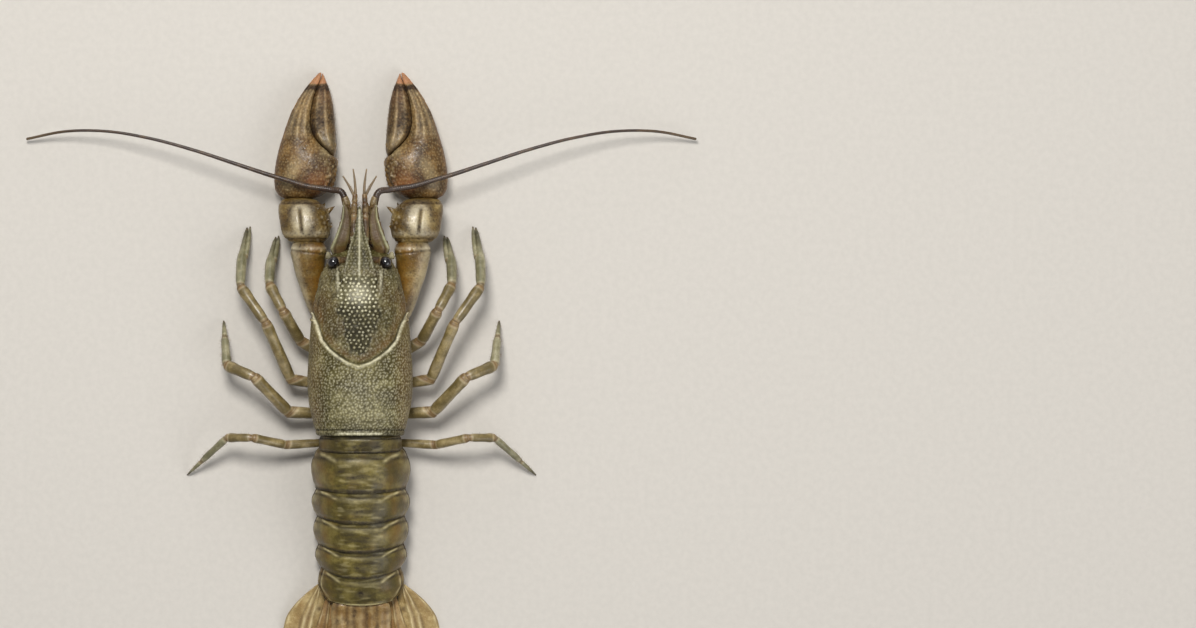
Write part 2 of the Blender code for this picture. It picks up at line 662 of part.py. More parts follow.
def thorax():
    """Rear of the shell, behind the cervical groove."""
    whole = carapace()
    front = groove_prism(HALF_GAP)
    boolean(whole, "DIFFERENCE", front)
    bpy.data.objects.remove(front, do_unlink=True)
    largest_surface(whole)
    return finish(whole, "thorax", SHELL, 0.35)


def sternum():
    """Plate between the leg roots, with the first joint of each leg grown to it."""
    rings = [body_ring(y, half, STERNUM_TOP, STERNUM_WIDE, low, 2.6, 2.6, 12) for y, half, low in STERNUM]
    pieces = [loft(rings)]
    for side in (1, -1):
        for root, ischium, *outer in LEGS.values():
            end = Vector(root)
            inward = (end - Vector(ischium)).normalized()
            inner = (COXA_INNER_X, end.y * COXA_INNER_Y, COXA_INNER_Z)
            stations = [(*inner, *COXA_INNER_SIZE)]
            stations += [(*(end + inward * (GAP + step)), wide, high) for step, wide, high in COXA]
            pieces.append(sided_limb(stations, side))
    return finish(fuse(pieces), "sternum", PALE, 0.45)


def eye(side):
    """Round cornea on a short stalk."""
    cornea = ball(mirrored(EYE, side), EYE_RADIUS, 8, 12)
    return finish(fuse([cornea, sided_limb(EYE_STALK, side)]), "eye_" + side_name(side), DARK, 0.15)


def antennule(side):
    """First antenna: three-jointed stem and two short whips."""
    stem = sided_limb(ANTENNULE_STEM, side)
    outer = sided_limb(ANTENNULE_OUTER, side, sides=6)
    inner = sided_limb(ANTENNULE_INNER, side, sides=6)
    return finish(fuse([stem, outer, inner]), "antennule_" + side_name(side), DARK, 0.5)


def plate_ring(y, x_in, x_out, z, thickness, side, ridges, columns):
    """Ring of a thin blade: its upper face carries the ridges, its lower face is plain."""
    upper, lower = [], []
    for i in range(columns):
        share = i / (columns - 1)
        x = side * (x_in + (x_out - x_in) * share)
        edge = BLADE_EDGE if i in (0, columns - 1) else 1.0
        height = RIDGE_HEIGHT if i in ridges else 0.0
        upper.append(Vector((x, y, z + thickness / 2 * edge + height)))
        lower.append(Vector((x, y, max(z - thickness / 2 * edge, 0))))
    return upper + lower[::-1]


def blade(stations, side, ridges, columns):
    rings = [plate_ring(*station, side, ridges, columns) for station in stations]
    return loft(rings, [(i, 2 * columns - 1 - i) for i in range(columns)])


def antenna_base(side):
    """Stout stem of the second antenna with its pointed scale."""
    stem = sided_limb(ANTENNA_STEM, side)
    scale = blade(ANTENNA_SCALE, side, SCALE_RIDGES, SCALE_COLUMNS)
    return finish(fuse([stem, scale]), "antenna_base_" + side_name(side), TAIL, 0.45)


def smooth_points(points, steps):
    """Points on a smooth curve through the given ones."""
    curve = []
    places = [Vector(point) for point in points]
    for i in range(len(places) - 1):
        before = places[max(i - 1, 0)]
        after = places[min(i + 2, len(places) - 1)]
        near, far = places[i], places[i + 1]
        for step in range(steps):
            t = step / steps
            curve.append(0.5 * ((2 * near) + (far - before) * t
                                + (2 * before - 5 * near + 4 * far - after) * t * t
                                + (3 * near - before - 3 * far + after) * t ** 3))
    curve.append(places[-1])
    return curve


def flagellum(side):
    """Long whip of the second antenna in two lengths."""
    points = smooth_points([(side * x, y, z) for x, y, z in FLAGELLUM], 2)
    count = len(points) - 1
    stations = []
    for i, point in enumerate(points):
        share = i / count
        thick = math.exp(-share / FLAGELLUM_TAPER)
        radius = FLAGELLUM_TIP_RADIUS + (FLAGELLUM_BASE_RADIUS - FLAGELLUM_TIP_RADIUS) * thick
        stations.append((*point, radius, radius))
    split = next(i for i, point in enumerate(points) if abs(point.x) > FLAGELLUM_SPLIT_X)
    inner, outer = limb(stations, (split,), sides=6)
    finish(inner, "antenna_inner_" + side_name(side), DARK, 0.5)
    finish(outer, "antenna_outer_" + side_name(side), DARK, 0.5)


def cheliped(side):
    """Great claw: root, arm, wrist, hand with its fixed finger, and the moving finger."""
    name = side_name(side)
    stations = [(side * x, *rest) for x, *rest in CHELIPED]
    root, arm = limb(stations, (CHELIPED_SPLIT,), sides=CHELIPED_SIDES)
    finish(root, "cheliped_root_" + name, LIMB)
    spines = [spine((side * x, y, z), (side * aside, -1, up), ARM_SPINE_LENGTH, ARM_SPINE_RADIUS)
              for x, y, z, aside, up in ARM_SPINES]
    finish(fuse([arm] + spines), "cheliped_arm_" + name, LIMB)

    wrist = loft([block_ring(*station, side, WRIST_POWER) for station in CARPUS])
    thorns = [spine(mirrored(place, side), mirrored(direction, side), length, radius)
              for place, direction, length, radius in WRIST_SPINES]
    wrist = fuse([wrist] + thorns)

    finger = loft([block_ring(*station, side) for station in DACTYL])
    hand = loft([block_ring(*station, side) for station in PALM])
    knobs = []
    for i in range(PALM_KNOBS):
        y = KNOBS_START_Y - i * KNOB_SPACING
        x = KNOB_X + KNOB_BEND * (i - KNOB_BEND_FROM) ** 2
        lower = Vector((x, y, KNOB_HEIGHT + KNOB_RISE * i))
        upper = Vector((x, y, KNOB_HEIGHT + UPPER_KNOB_RISE * i)) + Vector(UPPER_KNOB_SHIFT)
        knobs.append(ball(mirrored(lower, side), KNOB_RADIUS, 4, 5))
        knobs.append(ball(mirrored(upper, side), UPPER_KNOB_RADIUS, 4, 5))
    hand = clear_of(fuse([hand] + knobs), [finger])
    finish(finger, "cheliped_finger_" + name, CLAW)
    finish(clear_of(wrist, [hand]), "cheliped_wrist_" + name, LIMB)
    finish(hand, "cheliped_hand_" + name, CLAW)


def on_leg(joints, ring, half):
    """Station of a leg from a ring given by the joint that it starts from."""
    joint, share, wide, high = ring
    place = Vector(joints[joint])
    if share:
        place = place.lerp(Vector(joints[joint + 1]), share)
    return (*place, wide * half, high * half)


def walking_leg(number, side):
    """Leg in three lengths: thigh to the knee, wrist, and the hand or last two joints."""
    joints = LEGS[number]
    half = LEG_HALF_WIDTHS[number]
    wrist, tip = Vector(joints[-2]), Vector(joints[-1])
    stations = [on_leg(joints, ring, half) for ring in LEG_RINGS]
    if number in CHELATE_LEGS:
        bow = Vector((CHELA_BOW, 0, 0))
        outer_tip = tip + Vector(PINCER_TIP_SHIFT)
        for end, rings in ((tip, PINCER_PALM), (outer_tip, PINCER_FINGER)):
            for share, wide, high, bent_by in rings:
                stations.append((*(wrist.lerp(end, share) + bow * bent_by), wide * half, high * half))
    else:
        stations += [on_leg(joints, (LAST_JOINT, *ring), half) for ring in POINTED_END]
    thigh, shin, last = limb([(side * x, *rest) for x, *rest in stations], LEG_SPLITS)
    if number in CHELATE_LEGS:
        start, thumb_tip = wrist.lerp(tip, PINCER_ROOT), tip + Vector(PINCER_THUMB_SHIFT)
        thumb = [(*start.lerp(thumb_tip, share), wide, high) for share, wide, high in PINCER_THUMB]
        last = fuse([last, sided_limb(thumb, side, sides=6)])
    end = number + "_" + side_name(side)
    finish(thigh, "leg_thigh_" + end, LIMB)
    finish(shin, "leg_wrist_" + end, LIMB)
    finish(last, "leg_hand_" + end, LIMB)


def arch_ring(front, rear, share, bulge_front, bulge_rear, half, top, low):
    """Ring of a segment; its front and rear edges bow backwards at the middle."""
    right = ARCH + [(0.0, BELLY_HEIGHT)]
    outline = right + [(-x, z) for x, z in reversed(ARCH[1:])]
    ring = []
    for x, z in outline:
        y_front = front - bulge_front * x * x
        y_rear = rear - bulge_rear * x * x
        middle = (y_front + y_rear) / 2
        lobe = min(1.0, PLEURA_LOBE + z * PLEURA_SPREAD)
        y = middle + (y_front + (y_rear - y_front) * share - middle) * lobe
        ring.append(Vector((x * half, y, low + (top - low) * z)))
    return ring


def swimmeret(side, x, middle, belly):
    """Short stalk under a segment with two flat blades that lie backwards."""
    parts = []
    for rows in SWIMMERET:
        stations = [(x * share, middle + back, belly + up, wide, high)
                    for share, back, up, wide, high in rows]
        parts.append(sided_limb(stations, side, sides=6))
    return parts


def abdomen(index):
    number, front, rear, bulge, widths, top_front, top_rear, low_front, low_rear = SEGMENTS[index]
    bulge_before = SEGMENTS[index - 1][3] if index else BULGE_BEFORE_FIRST
    rings = []
    for share, weights, swell, slope, lift in SEGMENT_RINGS:
        half = sum(width * weight for width, weight in zip(widths, weights)) + swell
        top = top_front + (top_rear - top_front) * slope + lift
        low = low_front + (low_rear - low_front) * share
        rings.append(arch_ring(front, rear, share, bulge_before, bulge, half, top, low))
    pieces = [loft(rings, ARCH_PAIRS)]
    if number in SWIMMERET_SEGMENTS:
        belly = low_rear + (top_rear - low_rear) * BELLY_HEIGHT
        middle = (front + rear) / 2 - bulge * SWIMMERET_SHIFT
        for side in (1, -1):
            pieces += swimmeret(side, widths[1] * SWIMMERET_SPREAD, middle, belly)
    return finish(fuse(pieces), "abdomen_" + number, SHELL, 0.3)


def telson():
    stations = [(y, -half, half, z, thick) for y, half, z, thick in TELSON]
    return finish(blade(stations, 1, TELSON_RIDGES, TELSON_COLUMNS), "telson", TAIL)


def uropods(side):
    inner = blade(ENDOPOD, side, ENDOPOD_RIDGES, ENDOPOD_COLUMNS)
    outer = blade(EXOPOD, side, EXOPOD_RIDGES, EXOPOD_COLUMNS)
    name = side_name(side)
    finish(inner, "uropod_inner_" + name, TAIL)
    finish(outer, "uropod_outer_" + name, TAIL)


clear_scene()
crayfish = new_collection("crayfish")
working = new_collection("cutters")

eye_nodes = [eye(side) for side in (1, -1)]
antennule_nodes = [antennule(side) for side in (1, -1)]
head(eye_nodes, antennule_nodes)
thorax()
sternum()
for side in (1, -1):
    antenna_base(side)
    flagellum(side)
    finish(sided_limb(MAXILLIPED, side), "maxilliped_" + side_name(side), LIMB)
    cheliped(side)
    for number in LEGS:
        walking_leg(number, side)
    uropods(side)
for index in range(len(SEGMENTS)):
    abdomen(index)
telson()
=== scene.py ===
import math

import bmesh
import bpy
import numpy as np
from mathutils import Matrix, Vector, noise


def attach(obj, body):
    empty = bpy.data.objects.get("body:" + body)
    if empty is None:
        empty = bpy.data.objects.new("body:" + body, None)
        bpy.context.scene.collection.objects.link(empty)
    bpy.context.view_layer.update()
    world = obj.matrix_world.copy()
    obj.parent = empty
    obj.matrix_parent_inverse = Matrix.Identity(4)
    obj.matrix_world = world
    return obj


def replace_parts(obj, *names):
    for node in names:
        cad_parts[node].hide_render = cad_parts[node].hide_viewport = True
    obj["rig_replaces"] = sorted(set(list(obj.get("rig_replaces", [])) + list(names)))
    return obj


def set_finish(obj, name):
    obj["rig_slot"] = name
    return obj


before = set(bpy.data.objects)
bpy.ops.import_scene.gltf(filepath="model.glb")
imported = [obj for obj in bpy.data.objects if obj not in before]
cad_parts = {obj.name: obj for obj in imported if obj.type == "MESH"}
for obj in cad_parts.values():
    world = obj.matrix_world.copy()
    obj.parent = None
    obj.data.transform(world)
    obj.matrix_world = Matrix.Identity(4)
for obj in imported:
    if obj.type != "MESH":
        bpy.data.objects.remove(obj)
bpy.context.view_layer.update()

# Crayfish, life size. Pieces are shaped in millimetres and set to metres when they are finished.
# The head points to -Y and the animal's left side is +X.

mm = 0.001
floorGap = 0.01
crumbSize = 60
bodyParts = []


# ------- small tools

def clearSelection():
    if bpy.context.mode != "OBJECT":
        bpy.ops.object.mode_set(mode="OBJECT")
    bpy.ops.object.select_all(action="DESELECT")


def pick(piece):
    clearSelection()
    piece.select_set(True)
    bpy.context.view_layer.objects.active = piece


def pointsOf(piece):
    flat = np.empty(len(piece.data.vertices) * 3, dtype=np.float32)
    piece.data.vertices.foreach_get("co", flat)
    return flat.reshape(-1, 3).astype(np.float64)


def normalsOf(piece):
    flat = np.empty(len(piece.data.vertices) * 3, dtype=np.float32)
    piece.data.vertex_normals.foreach_get("vector", flat)
    return flat.reshape(-1, 3).astype(np.float64)


def movePoints(piece, points):
    piece.data.vertices.foreach_set("co", np.asarray(points, dtype=np.float32).ravel())
    piece.data.update()


def measured(piece):
    # all points, then their x, y and z, and how far each one faces up
    points = pointsOf(piece)
    return (points, *points.T, normalsOf(piece)[:, 2])


def tableAt(stations, y, column):
    # a column of a table of stations along y, read at each y
    way = 1 if stations[-1][0] > stations[0][0] else -1
    return np.interp(way * y, [way * row[0] for row in stations], [row[column] for row in stations])


def puff(piece, heights):
    # push each point along its normal
    movePoints(piece, pointsOf(piece) + normalsOf(piece) * np.asarray(heights)[:, None])


def paint(piece, name, values):
    if name in piece.data.attributes:
        piece.data.attributes.remove(piece.data.attributes[name])
    layer = piece.data.attributes.new(name, "FLOAT", "POINT")
    layer.data.foreach_set("value", np.clip(values, 0, 1).astype(np.float32))


def paintAll(piece, **masks):
    for name, values in masks.items():
        paint(piece, name, values)


def applyAll(piece):
    pick(piece)
    for modifier in list(piece.modifiers):
        bpy.ops.object.modifier_apply(modifier=modifier.name)


def smoothStep(low, high, value):
    # 0 before low and 1 past high; low may be the larger one
    t = np.clip((value - low) / (high - low), 0, 1)
    return t * t * (3 - 2 * t)


def hump(value, middle, width):
    # 1 at the middle, falling off to nothing about two widths away
    return np.exp(-((value - middle) / width) ** 2)


def cloud(points, size, seed=0.0):
    # soft noise, about -1 to 1
    shift = Vector((seed * 7.31, seed * 3.17, seed * 5.71))
    return np.array([noise.noise(Vector(point) / size + shift) for point in points])


def grains(points, size, seed=0.0):
    # distance to the nearest of many scattered centres, in grain sizes
    shift = Vector((seed * 5.13, seed * 2.71, seed * 9.37))
    return np.array([noise.voronoi(Vector(point) / size + shift)[0][0] for point in points])


def spots(points, size, seed, reach=0.3):
    # round spots at scattered centres: 1 in the middle of each, 0 past its reach
    return np.clip(1 - grains(points, size, seed) / reach, 0, 1)


def patches(points, size, seed, low=0.0, high=0.5):
    # soft patches: the places where the noise rises from low to high
    return smoothStep(low, high, cloud(points, size, seed))


def lattice(across, along, spacing, jitter, seed):
    # distance in spacings to the nearest point of a loose triangular lattice
    tall = spacing * 0.866
    row = np.floor(along / tall)
    best = np.full(len(across), 9.0)
    for dr in (-1, 0, 1, 2):
        r = row + dr
        shift = 0.5 * (r % 2)
        column = np.floor(across / spacing - shift)
        for dc in (-1, 0, 1, 2):
            c = column + dc
            a = np.sin(r * 127.1 + c * 311.7 + seed) * 43758.5453
            b = np.sin(r * 269.5 + c * 183.3 + seed) * 28461.7231
            x = (c + shift + (a - np.floor(a) - 0.5) * jitter) * spacing
            y = (r + (b - np.floor(b) - 0.5) * jitter) * tall
            best = np.minimum(best, np.hypot(across - x, along - y) / spacing)
    return best


def smoothRows(stations, count):
    # rows on smooth curves through the given rows, evenly spaced along them
    rows = np.array(stations, dtype=float)
    reach = np.linalg.norm(np.diff(rows[:, :3], axis=0), axis=1)
    places = np.concatenate([[0], np.cumsum(np.maximum(reach, 1e-6))])
    slopes = np.gradient(rows, places, axis=0)
    out = []
    for place in np.linspace(0, places[-1], count):
        i = min(max(int(np.searchsorted(places, place)) - 1, 0), len(rows) - 2)
        step = places[i + 1] - places[i]
        t = (place - places[i]) / step
        out.append((2 * t**3 - 3 * t**2 + 1) * rows[i] + (t**3 - 2 * t**2 + t) * step * slopes[i]
                   + (3 * t**2 - 2 * t**3) * rows[i + 1] + (t**3 - t**2) * step * slopes[i + 1])
    return np.array(out)


def newest(name):
    piece = bpy.context.object
    piece.name = piece.data.name = name
    return piece


def gridPiece(name, rows, rolled=True):
    # a grid primitive laid through rows of points; rolled closes it to a tube with ends
    rows = np.asarray(rows, dtype=float)
    if rolled:
        rows = np.concatenate([rows, rows[:, :1]], axis=1)
    clearSelection()
    long, wide = rows.shape[0] - 1, rows.shape[1] - 1
    bpy.ops.mesh.primitive_grid_add(x_subdivisions=wide, y_subdivisions=long, size=1)
    piece = newest(name)
    movePoints(piece, rows.reshape(-1, 3))
    if rolled:
        bpy.ops.object.mode_set(mode="EDIT")
        bpy.ops.mesh.select_all(action="SELECT")
        bpy.ops.mesh.remove_doubles(threshold=1e-4)
        bpy.ops.mesh.fill_holes(sides=0)
        bpy.ops.mesh.normals_make_consistent(inside=False)
        bpy.ops.object.mode_set(mode="OBJECT")
    return piece


def ellipsePower(angle, power):
    c, s = np.cos(angle), np.sin(angle)
    return np.sign(c) * np.abs(c) ** (2 / power), np.sign(s) * np.abs(s) ** (2 / power)


def limbRings(stations, sides, power=2.15, rings=None, roundEnds=(0.6, 0.6)):
    # rings square to a limb's path; stations are x, y, z, half width, half height
    rows = smoothRows(stations, rings or len(stations) * 4)
    points = rows[:, :3]
    along = np.gradient(points, axis=0)
    along /= np.linalg.norm(along, axis=1)[:, None]
    across = np.cross(along, (0, 0, 1))
    across /= np.linalg.norm(across, axis=1)[:, None]
    rise = np.cross(across, along)
    c, s = ellipsePower(np.arange(sides) * 2 * np.pi / sides, power)
    tube = [points[i] + across[i] * rows[i, 3] * c[:, None] + rise[i] * rows[i, 4] * s[:, None]
            for i in range(len(rows))]
    for end, first, share in ((0, -1, roundEnds[0]), (len(rows) - 1, 1, roundEnds[1])):
        if share:
            cap = []
            for turn in (0.35, 0.7, 0.9, 0.985):
                push = along[end] * first * share * rows[end, 3] * math.sin(turn * math.pi / 2)
                ring = tube[end if end == 0 else -1] - points[end]
                cap.append(points[end] + push + ring * math.cos(turn * math.pi / 2))
            tube = cap[::-1] + tube if first < 0 else tube + cap
    return np.array(tube)


def limbPiece(name, stations, sides=20, **more):
    return gridPiece(name, limbRings(stations, sides, **more))


def ballPiece(name, centre, radii, segments=12, rings=8):
    clearSelection()
    bpy.ops.mesh.primitive_uv_sphere_add(segments=segments, ring_count=rings, radius=1)
    piece = newest(name)
    movePoints(piece, pointsOf(piece) * np.array(radii) + np.array(centre))
    return piece


def spinePiece(name, root, direction, length, radius, sides=10):
    # a cone drawn out in edit mode so that it curves to a point
    clearSelection()
    bpy.ops.mesh.primitive_cone_add(vertices=sides, radius1=radius, radius2=radius * 0.62,
                                    depth=length * 0.5)
    piece = newest(name)
    bpy.ops.object.mode_set(mode="EDIT")
    bpy.ops.mesh.select_mode(type="FACE")
    bpy.ops.mesh.select_all(action="DESELECT")
    shape = bmesh.from_edit_mesh(piece.data)
    for face in shape.faces:
        face.select_set(face.normal.z > 0.9)
    bmesh.update_edit_mesh(piece.data)
    for grow, scale in ((0.28, 0.6), (0.22, 0.35)):
        bpy.ops.mesh.extrude_region_move(TRANSFORM_OT_translate={"value": (0, 0, length * grow)})
        bpy.ops.transform.resize(value=(scale, scale, scale))
    bpy.ops.object.mode_set(mode="OBJECT")
    turn = Vector((0, 0, 1)).rotation_difference(Vector(direction).normalized()).to_matrix()
    points = (pointsOf(piece) + np.array((0, 0, length * 0.25))) @ np.array(turn).T + np.array(root)
    movePoints(piece, points)
    return piece


def joinPieces(name, pieces):
    clearSelection()
    for piece in pieces:
        piece.select_set(True)
    bpy.context.view_layer.objects.active = pieces[0]
    bpy.ops.object.join()
    pieces[0].name = pieces[0].data.name = name
    return pieces[0]


def dropCrumbs(piece):
    # a remesh can leave a spine's tip behind as a speck of its own
    pick(piece)
    bpy.ops.object.mode_set(mode="EDIT")
    bpy.ops.mesh.select_all(action="DESELECT")
    shape = bmesh.from_edit_mesh(piece.data)
    seen = set()
    for start in shape.verts:
        if start in seen:
            continue
        island, edge = {start}, [start]
        while edge:
            for link in edge.pop().link_edges:
                for corner in link.verts:
                    if corner not in island:
                        island.add(corner)
                        edge.append(corner)
        seen |= island
        if len(island) < crumbSize:
            for corner in island:
                corner.select_set(True)
    bmesh.update_edit_mesh(piece.data)
    bpy.ops.mesh.delete(type="VERT")
    bpy.ops.object.mode_set(mode="OBJECT")


def remeshed(piece, voxel, smoothing):
    remesh = piece.modifiers.new("remesh", "REMESH")
    remesh.mode, remesh.voxel_size = "VOXEL", voxel
    soften = piece.modifiers.new("soften", "SMOOTH")
    soften.factor, soften.iterations = 0.5, smoothing
    applyAll(piece)
    dropCrumbs(piece)
    return piece


def clay(name, pieces, voxel, smoothing):
    # press overlapping forms into one closed skin
    return remeshed(joinPieces(name, pieces), voxel, smoothing)


def cut(piece, cutter):
    carve = piece.modifiers.new("carve", "BOOLEAN")
    carve.operation = "DIFFERENCE"
    carve.object = cutter
    applyAll(piece)
    bpy.data.objects.remove(cutter, do_unlink=True)
    return piece


def copyOf(piece, name):
    twin = piece.copy()
    twin.data = piece.data.copy()
    twin.name = twin.data.name = name
    bpy.context.scene.collection.objects.link(twin)
    return twin


def flipFaces(piece):
    pick(piece)
    bpy.ops.object.mode_set(mode="EDIT")
    bpy.ops.mesh.select_all(action="SELECT")
    bpy.ops.mesh.flip_normals()
    bpy.ops.object.mode_set(mode="OBJECT")


def otherSide(piece, name):
    # the right hand copy, with its own mesh turned face out again
    twin = copyOf(piece, name)
    movePoints(twin, pointsOf(twin) * np.array((-1, 1, 1)))
    flipFaces(twin)
    return twin


def finishPiece(piece, material, slot, *nodes, bend=60):
    # looks, metres and the frame's marks; edges sharper than bend degrees stay hard
    piece.data.materials.clear()
    piece.data.materials.append(material)
    # nothing dips under the floor
    movePoints(piece, np.maximum(pointsOf(piece), (-np.inf, -np.inf, floorGap)))
    piece.data.transform(Matrix.Scale(mm, 4))
    pick(piece)
    bpy.ops.object.shade_smooth_by_angle(angle=math.radians(bend))
    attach(piece, "root")
    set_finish(piece, slot)
    if nodes:
        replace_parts(piece, *nodes)
    bodyParts.append(piece)
    return piece


def mirrored(left):
    # the finished right hand piece of a finished left one
    right = otherSide(left, left.name.replace("left", "right"))
    nodes = [node.replace("left", "right") for node in left.get("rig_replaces", [])]
    right["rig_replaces"] = []
    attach(right, "root")
    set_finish(right, left["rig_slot"])
    if nodes:
        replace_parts(right, *nodes)
    bodyParts.append(right)
    return right


def hairPiece(name, roots, ways, lengths, radius, material, slot, bow=0.25, seed=1):
    # a coat of fine bristles as one solid mesh; each has its own small patch of the bake map
    dice = np.random.default_rng(seed)
    roots, ways = np.array(roots, dtype=float), np.array(ways, dtype=float)
    ways /= np.linalg.norm(ways, axis=1)[:, None]
    lengths = np.broadcast_to(lengths, len(roots)) * dice.uniform(0.75, 1.1, len(roots))
    points, faces = [], []
    low, high = roots.min(axis=0), roots.max(axis=0)
    span = np.maximum(high - low, 1e-3)
    for root, way, length in zip(roots, ways, lengths):
        way = way + dice.normal(0, 0.12, 3)
        way /= np.linalg.norm(way)
        flat = np.cross(way, (0.1, 0.2, 1.0))
        flat /= np.linalg.norm(flat)
        other = np.cross(way, flat)
        start = len(points)
        # three rings of three points, and a tip that hangs down by the bow
        for share, thick in ((-0.08, 1.0), (0.35, 0.8), (0.7, 0.5)):
            middle = root + way * length * share + np.array((0, 0, -bow * length * share * abs(share)))
            for turn in range(3):
                a = turn * 2 * math.pi / 3
                points.append(middle + (flat * math.cos(a) + other * math.sin(a)) * radius * thick)
        points.append(root + way * length + np.array((0, 0, -bow * length)))
        faces.append((start + 2, start + 1, start))
        for ring in (0, 3):
            for turn in range(3):
                a, b = start + ring + turn, start + ring + (turn + 1) % 3
                faces.append((a, b, b + 3, a + 3))
        for turn in range(3):
            faces.append((start + 6 + turn, start + 6 + (turn + 1) % 3, start + 9))
    mesh = bpy.data.meshes.new(name)
    mesh.from_pydata([tuple(point) for point in points], [], faces)
    piece = bpy.data.objects.new(name, mesh)
    bpy.context.scene.collection.objects.link(piece)
    patch = mesh.uv_layers.new(name="OFBake")
    corners = np.array([loop.vertex_index for loop in mesh.loops])
    ring = corners % 10
    offset = np.stack([np.cos(ring * 2.1), np.sin(ring * 2.1)], axis=1) * 0.0015 + 0.002
    home = np.array([((root - low) / span)[:2] for root in roots]) * 0.99
    patch.data.foreach_set("uv", (home[corners // 10] + offset).astype(np.float32).ravel())
    bare = np.zeros(len(points))
    paintAll(piece, pale=bare, dark=bare, warm=bare)
    return finishPiece(piece, material, slot, bend=180)


# ------- materials

def linear(red, green, blue):
    # a colour as a paint chart gives it, 0 to 255
    shares = (red / 255, green / 255, blue / 255)
    return (*(((c + 0.055) / 1.055) ** 2.4 if c > 10 / 255 else c / 12.92 for c in shares), 1)


def newGroup(name, inputs, outputs):
    # numbers make number sockets and tuples make colour sockets
    group = bpy.data.node_groups.new(name, "ShaderNodeTree")
    for way, sockets in (("INPUT", inputs), ("OUTPUT", outputs)):
        for title, value in sockets.items():
            kind = "NodeSocketFloat" if isinstance(value, float) else "NodeSocketColor"
            group.interface.new_socket(title, in_out=way, socket_type=kind).default_value = value
    return group, group.nodes.new("NodeGroupInput").outputs, group.nodes.new("NodeGroupOutput")


def newLook(name):
    look = bpy.data.materials.new(name)
    look.use_nodes = True
    return look, look.node_tree, look.node_tree.nodes["Principled BSDF"]


def addNode(tree, kind, **settings):
    node = tree.nodes.new(kind)
    for name, value in settings.items():
        setattr(node, name, value)
    return node


def feed(tree, node, values):
    # numbers, colours or other nodes' outputs into a node's sockets
    for title, value in values.items():
        if hasattr(value, "links"):
            tree.links.new(value, node.inputs[title])
        else:
            node.inputs[title].default_value = value


def mathNode(tree, operation, first, second, clamp=False):
    node = addNode(tree, "ShaderNodeMath", operation=operation, use_clamp=clamp)
    feed(tree, node, {0: first, 1: second})
    return node.outputs[0]


def times(tree, first, second):
    return mathNode(tree, "MULTIPLY", first, second)


def mixColour(tree, share, first, second):
    node = addNode(tree, "ShaderNodeMix", data_type="RGBA")
    feed(tree, node, {0: share, 6: first, 7: second})
    return node.outputs[2]


def noiseNode(tree, place, scale, detail, rough):
    node = addNode(tree, "ShaderNodeTexNoise")
    feed(tree, node, {"Vector": place, "Scale": scale, "Detail": detail, "Roughness": rough})
    return node.outputs["Fac"]


def cellNode(tree, place, scale, feature="F1"):
    node = addNode(tree, "ShaderNodeTexVoronoi", feature=feature)
    feed(tree, node, {"Vector": place, "Scale": scale})
    return node.outputs["Distance"]


def bumpNode(tree, height, strength, distance):
    node = addNode(tree, "ShaderNodeBump")
    feed(tree, node, {"Strength": strength, "Distance": distance, "Height": height})
    return node.outputs["Normal"]


def placeNode(tree):
    return addNode(tree, "ShaderNodeTexCoord").outputs["Object"]


def rangeNode(tree, value, low, high, toLow=0.0, toHigh=1.0):
    node = addNode(tree, "ShaderNodeMapRange", clamp=True)
    feed(tree, node, {"Value": value, "From Min": low, "From Max": high, "To Min": toLow, "To Max": toHigh})
    return node.outputs[0]


def mottleGroup():
    # blotched shell colour: broad clouds, small freckles and pale flecks
    group, given, result = newGroup(
        "shellMottle",
        {"Deep": (0.05, 0.04, 0.02, 1), "Main": (0.1, 0.08, 0.04, 1), "Light": (0.25, 0.2, 0.12, 1),
         "Patches": 300.0, "Freckles": 0.5, "Flecks": 0.3, "Grain size": 2300.0, "Furrows": 0.0},
        {"Colour": (0, 0, 0, 1), "Wet": 0.0})
    place = placeNode(group)
    broad = noiseNode(group, place, given["Patches"], 5, 0.6)
    fine = noiseNode(group, place, 2600.0, 3, 0.6)
    tiny = cellNode(group, place, given["Grain size"])
    deepShare = rangeNode(group, broad, 0.62, 0.38)
    lightShare = rangeNode(group, broad, 0.5, 0.75)
    colour = mixColour(group, deepShare, given["Main"], given["Deep"])
    colour = mixColour(group, times(group, lightShare, 0.8), colour, given["Light"])
    for source, low, high, share, tint in ((fine, 0.5, 0.36, "Freckles", "Deep"),
                                           (tiny, 0.3, 0.12, "Flecks", "Light"),
                                           (tiny, 0.36, 0.7, "Furrows", "Deep")):
        mask = times(group, rangeNode(group, source, low, high), given[share])
        colour = mixColour(group, mask, colour, given[tint])
    feed(group, result, {"Colour": colour, "Wet": rangeNode(group, fine, 0.3, 0.7)})
    return group


def grainGroup():
    # surface height of shell: fine pits, small grains and a low ripple
    group, given, result = newGroup(
        "shellGrain", {"Pit size": 2400.0, "Pits": 0.5, "Grain size": 2300.0, "Grains": 0.3, "Ripple": 0.3},
        {"Height": 0.0})
    place = placeNode(group)
    pit = cellNode(group, place, given["Pit size"])
    grain = cellNode(group, place, given["Grain size"], "SMOOTH_F1")
    ripple = noiseNode(group, place, 900.0, 3, 0.5)
    pits = times(group, rangeNode(group, pit, 0.28, 0.08, 0, -1), given["Pits"])
    bumps = times(group, rangeNode(group, grain, 0.5, 0.1), given["Grains"])
    total = mathNode(group, "ADD", pits, bumps)
    total = mathNode(group, "ADD", total, times(group, ripple, given["Ripple"]))
    feed(group, result, {"Height": total})
    return group


mottle = mottleGroup()
grain = grainGroup()


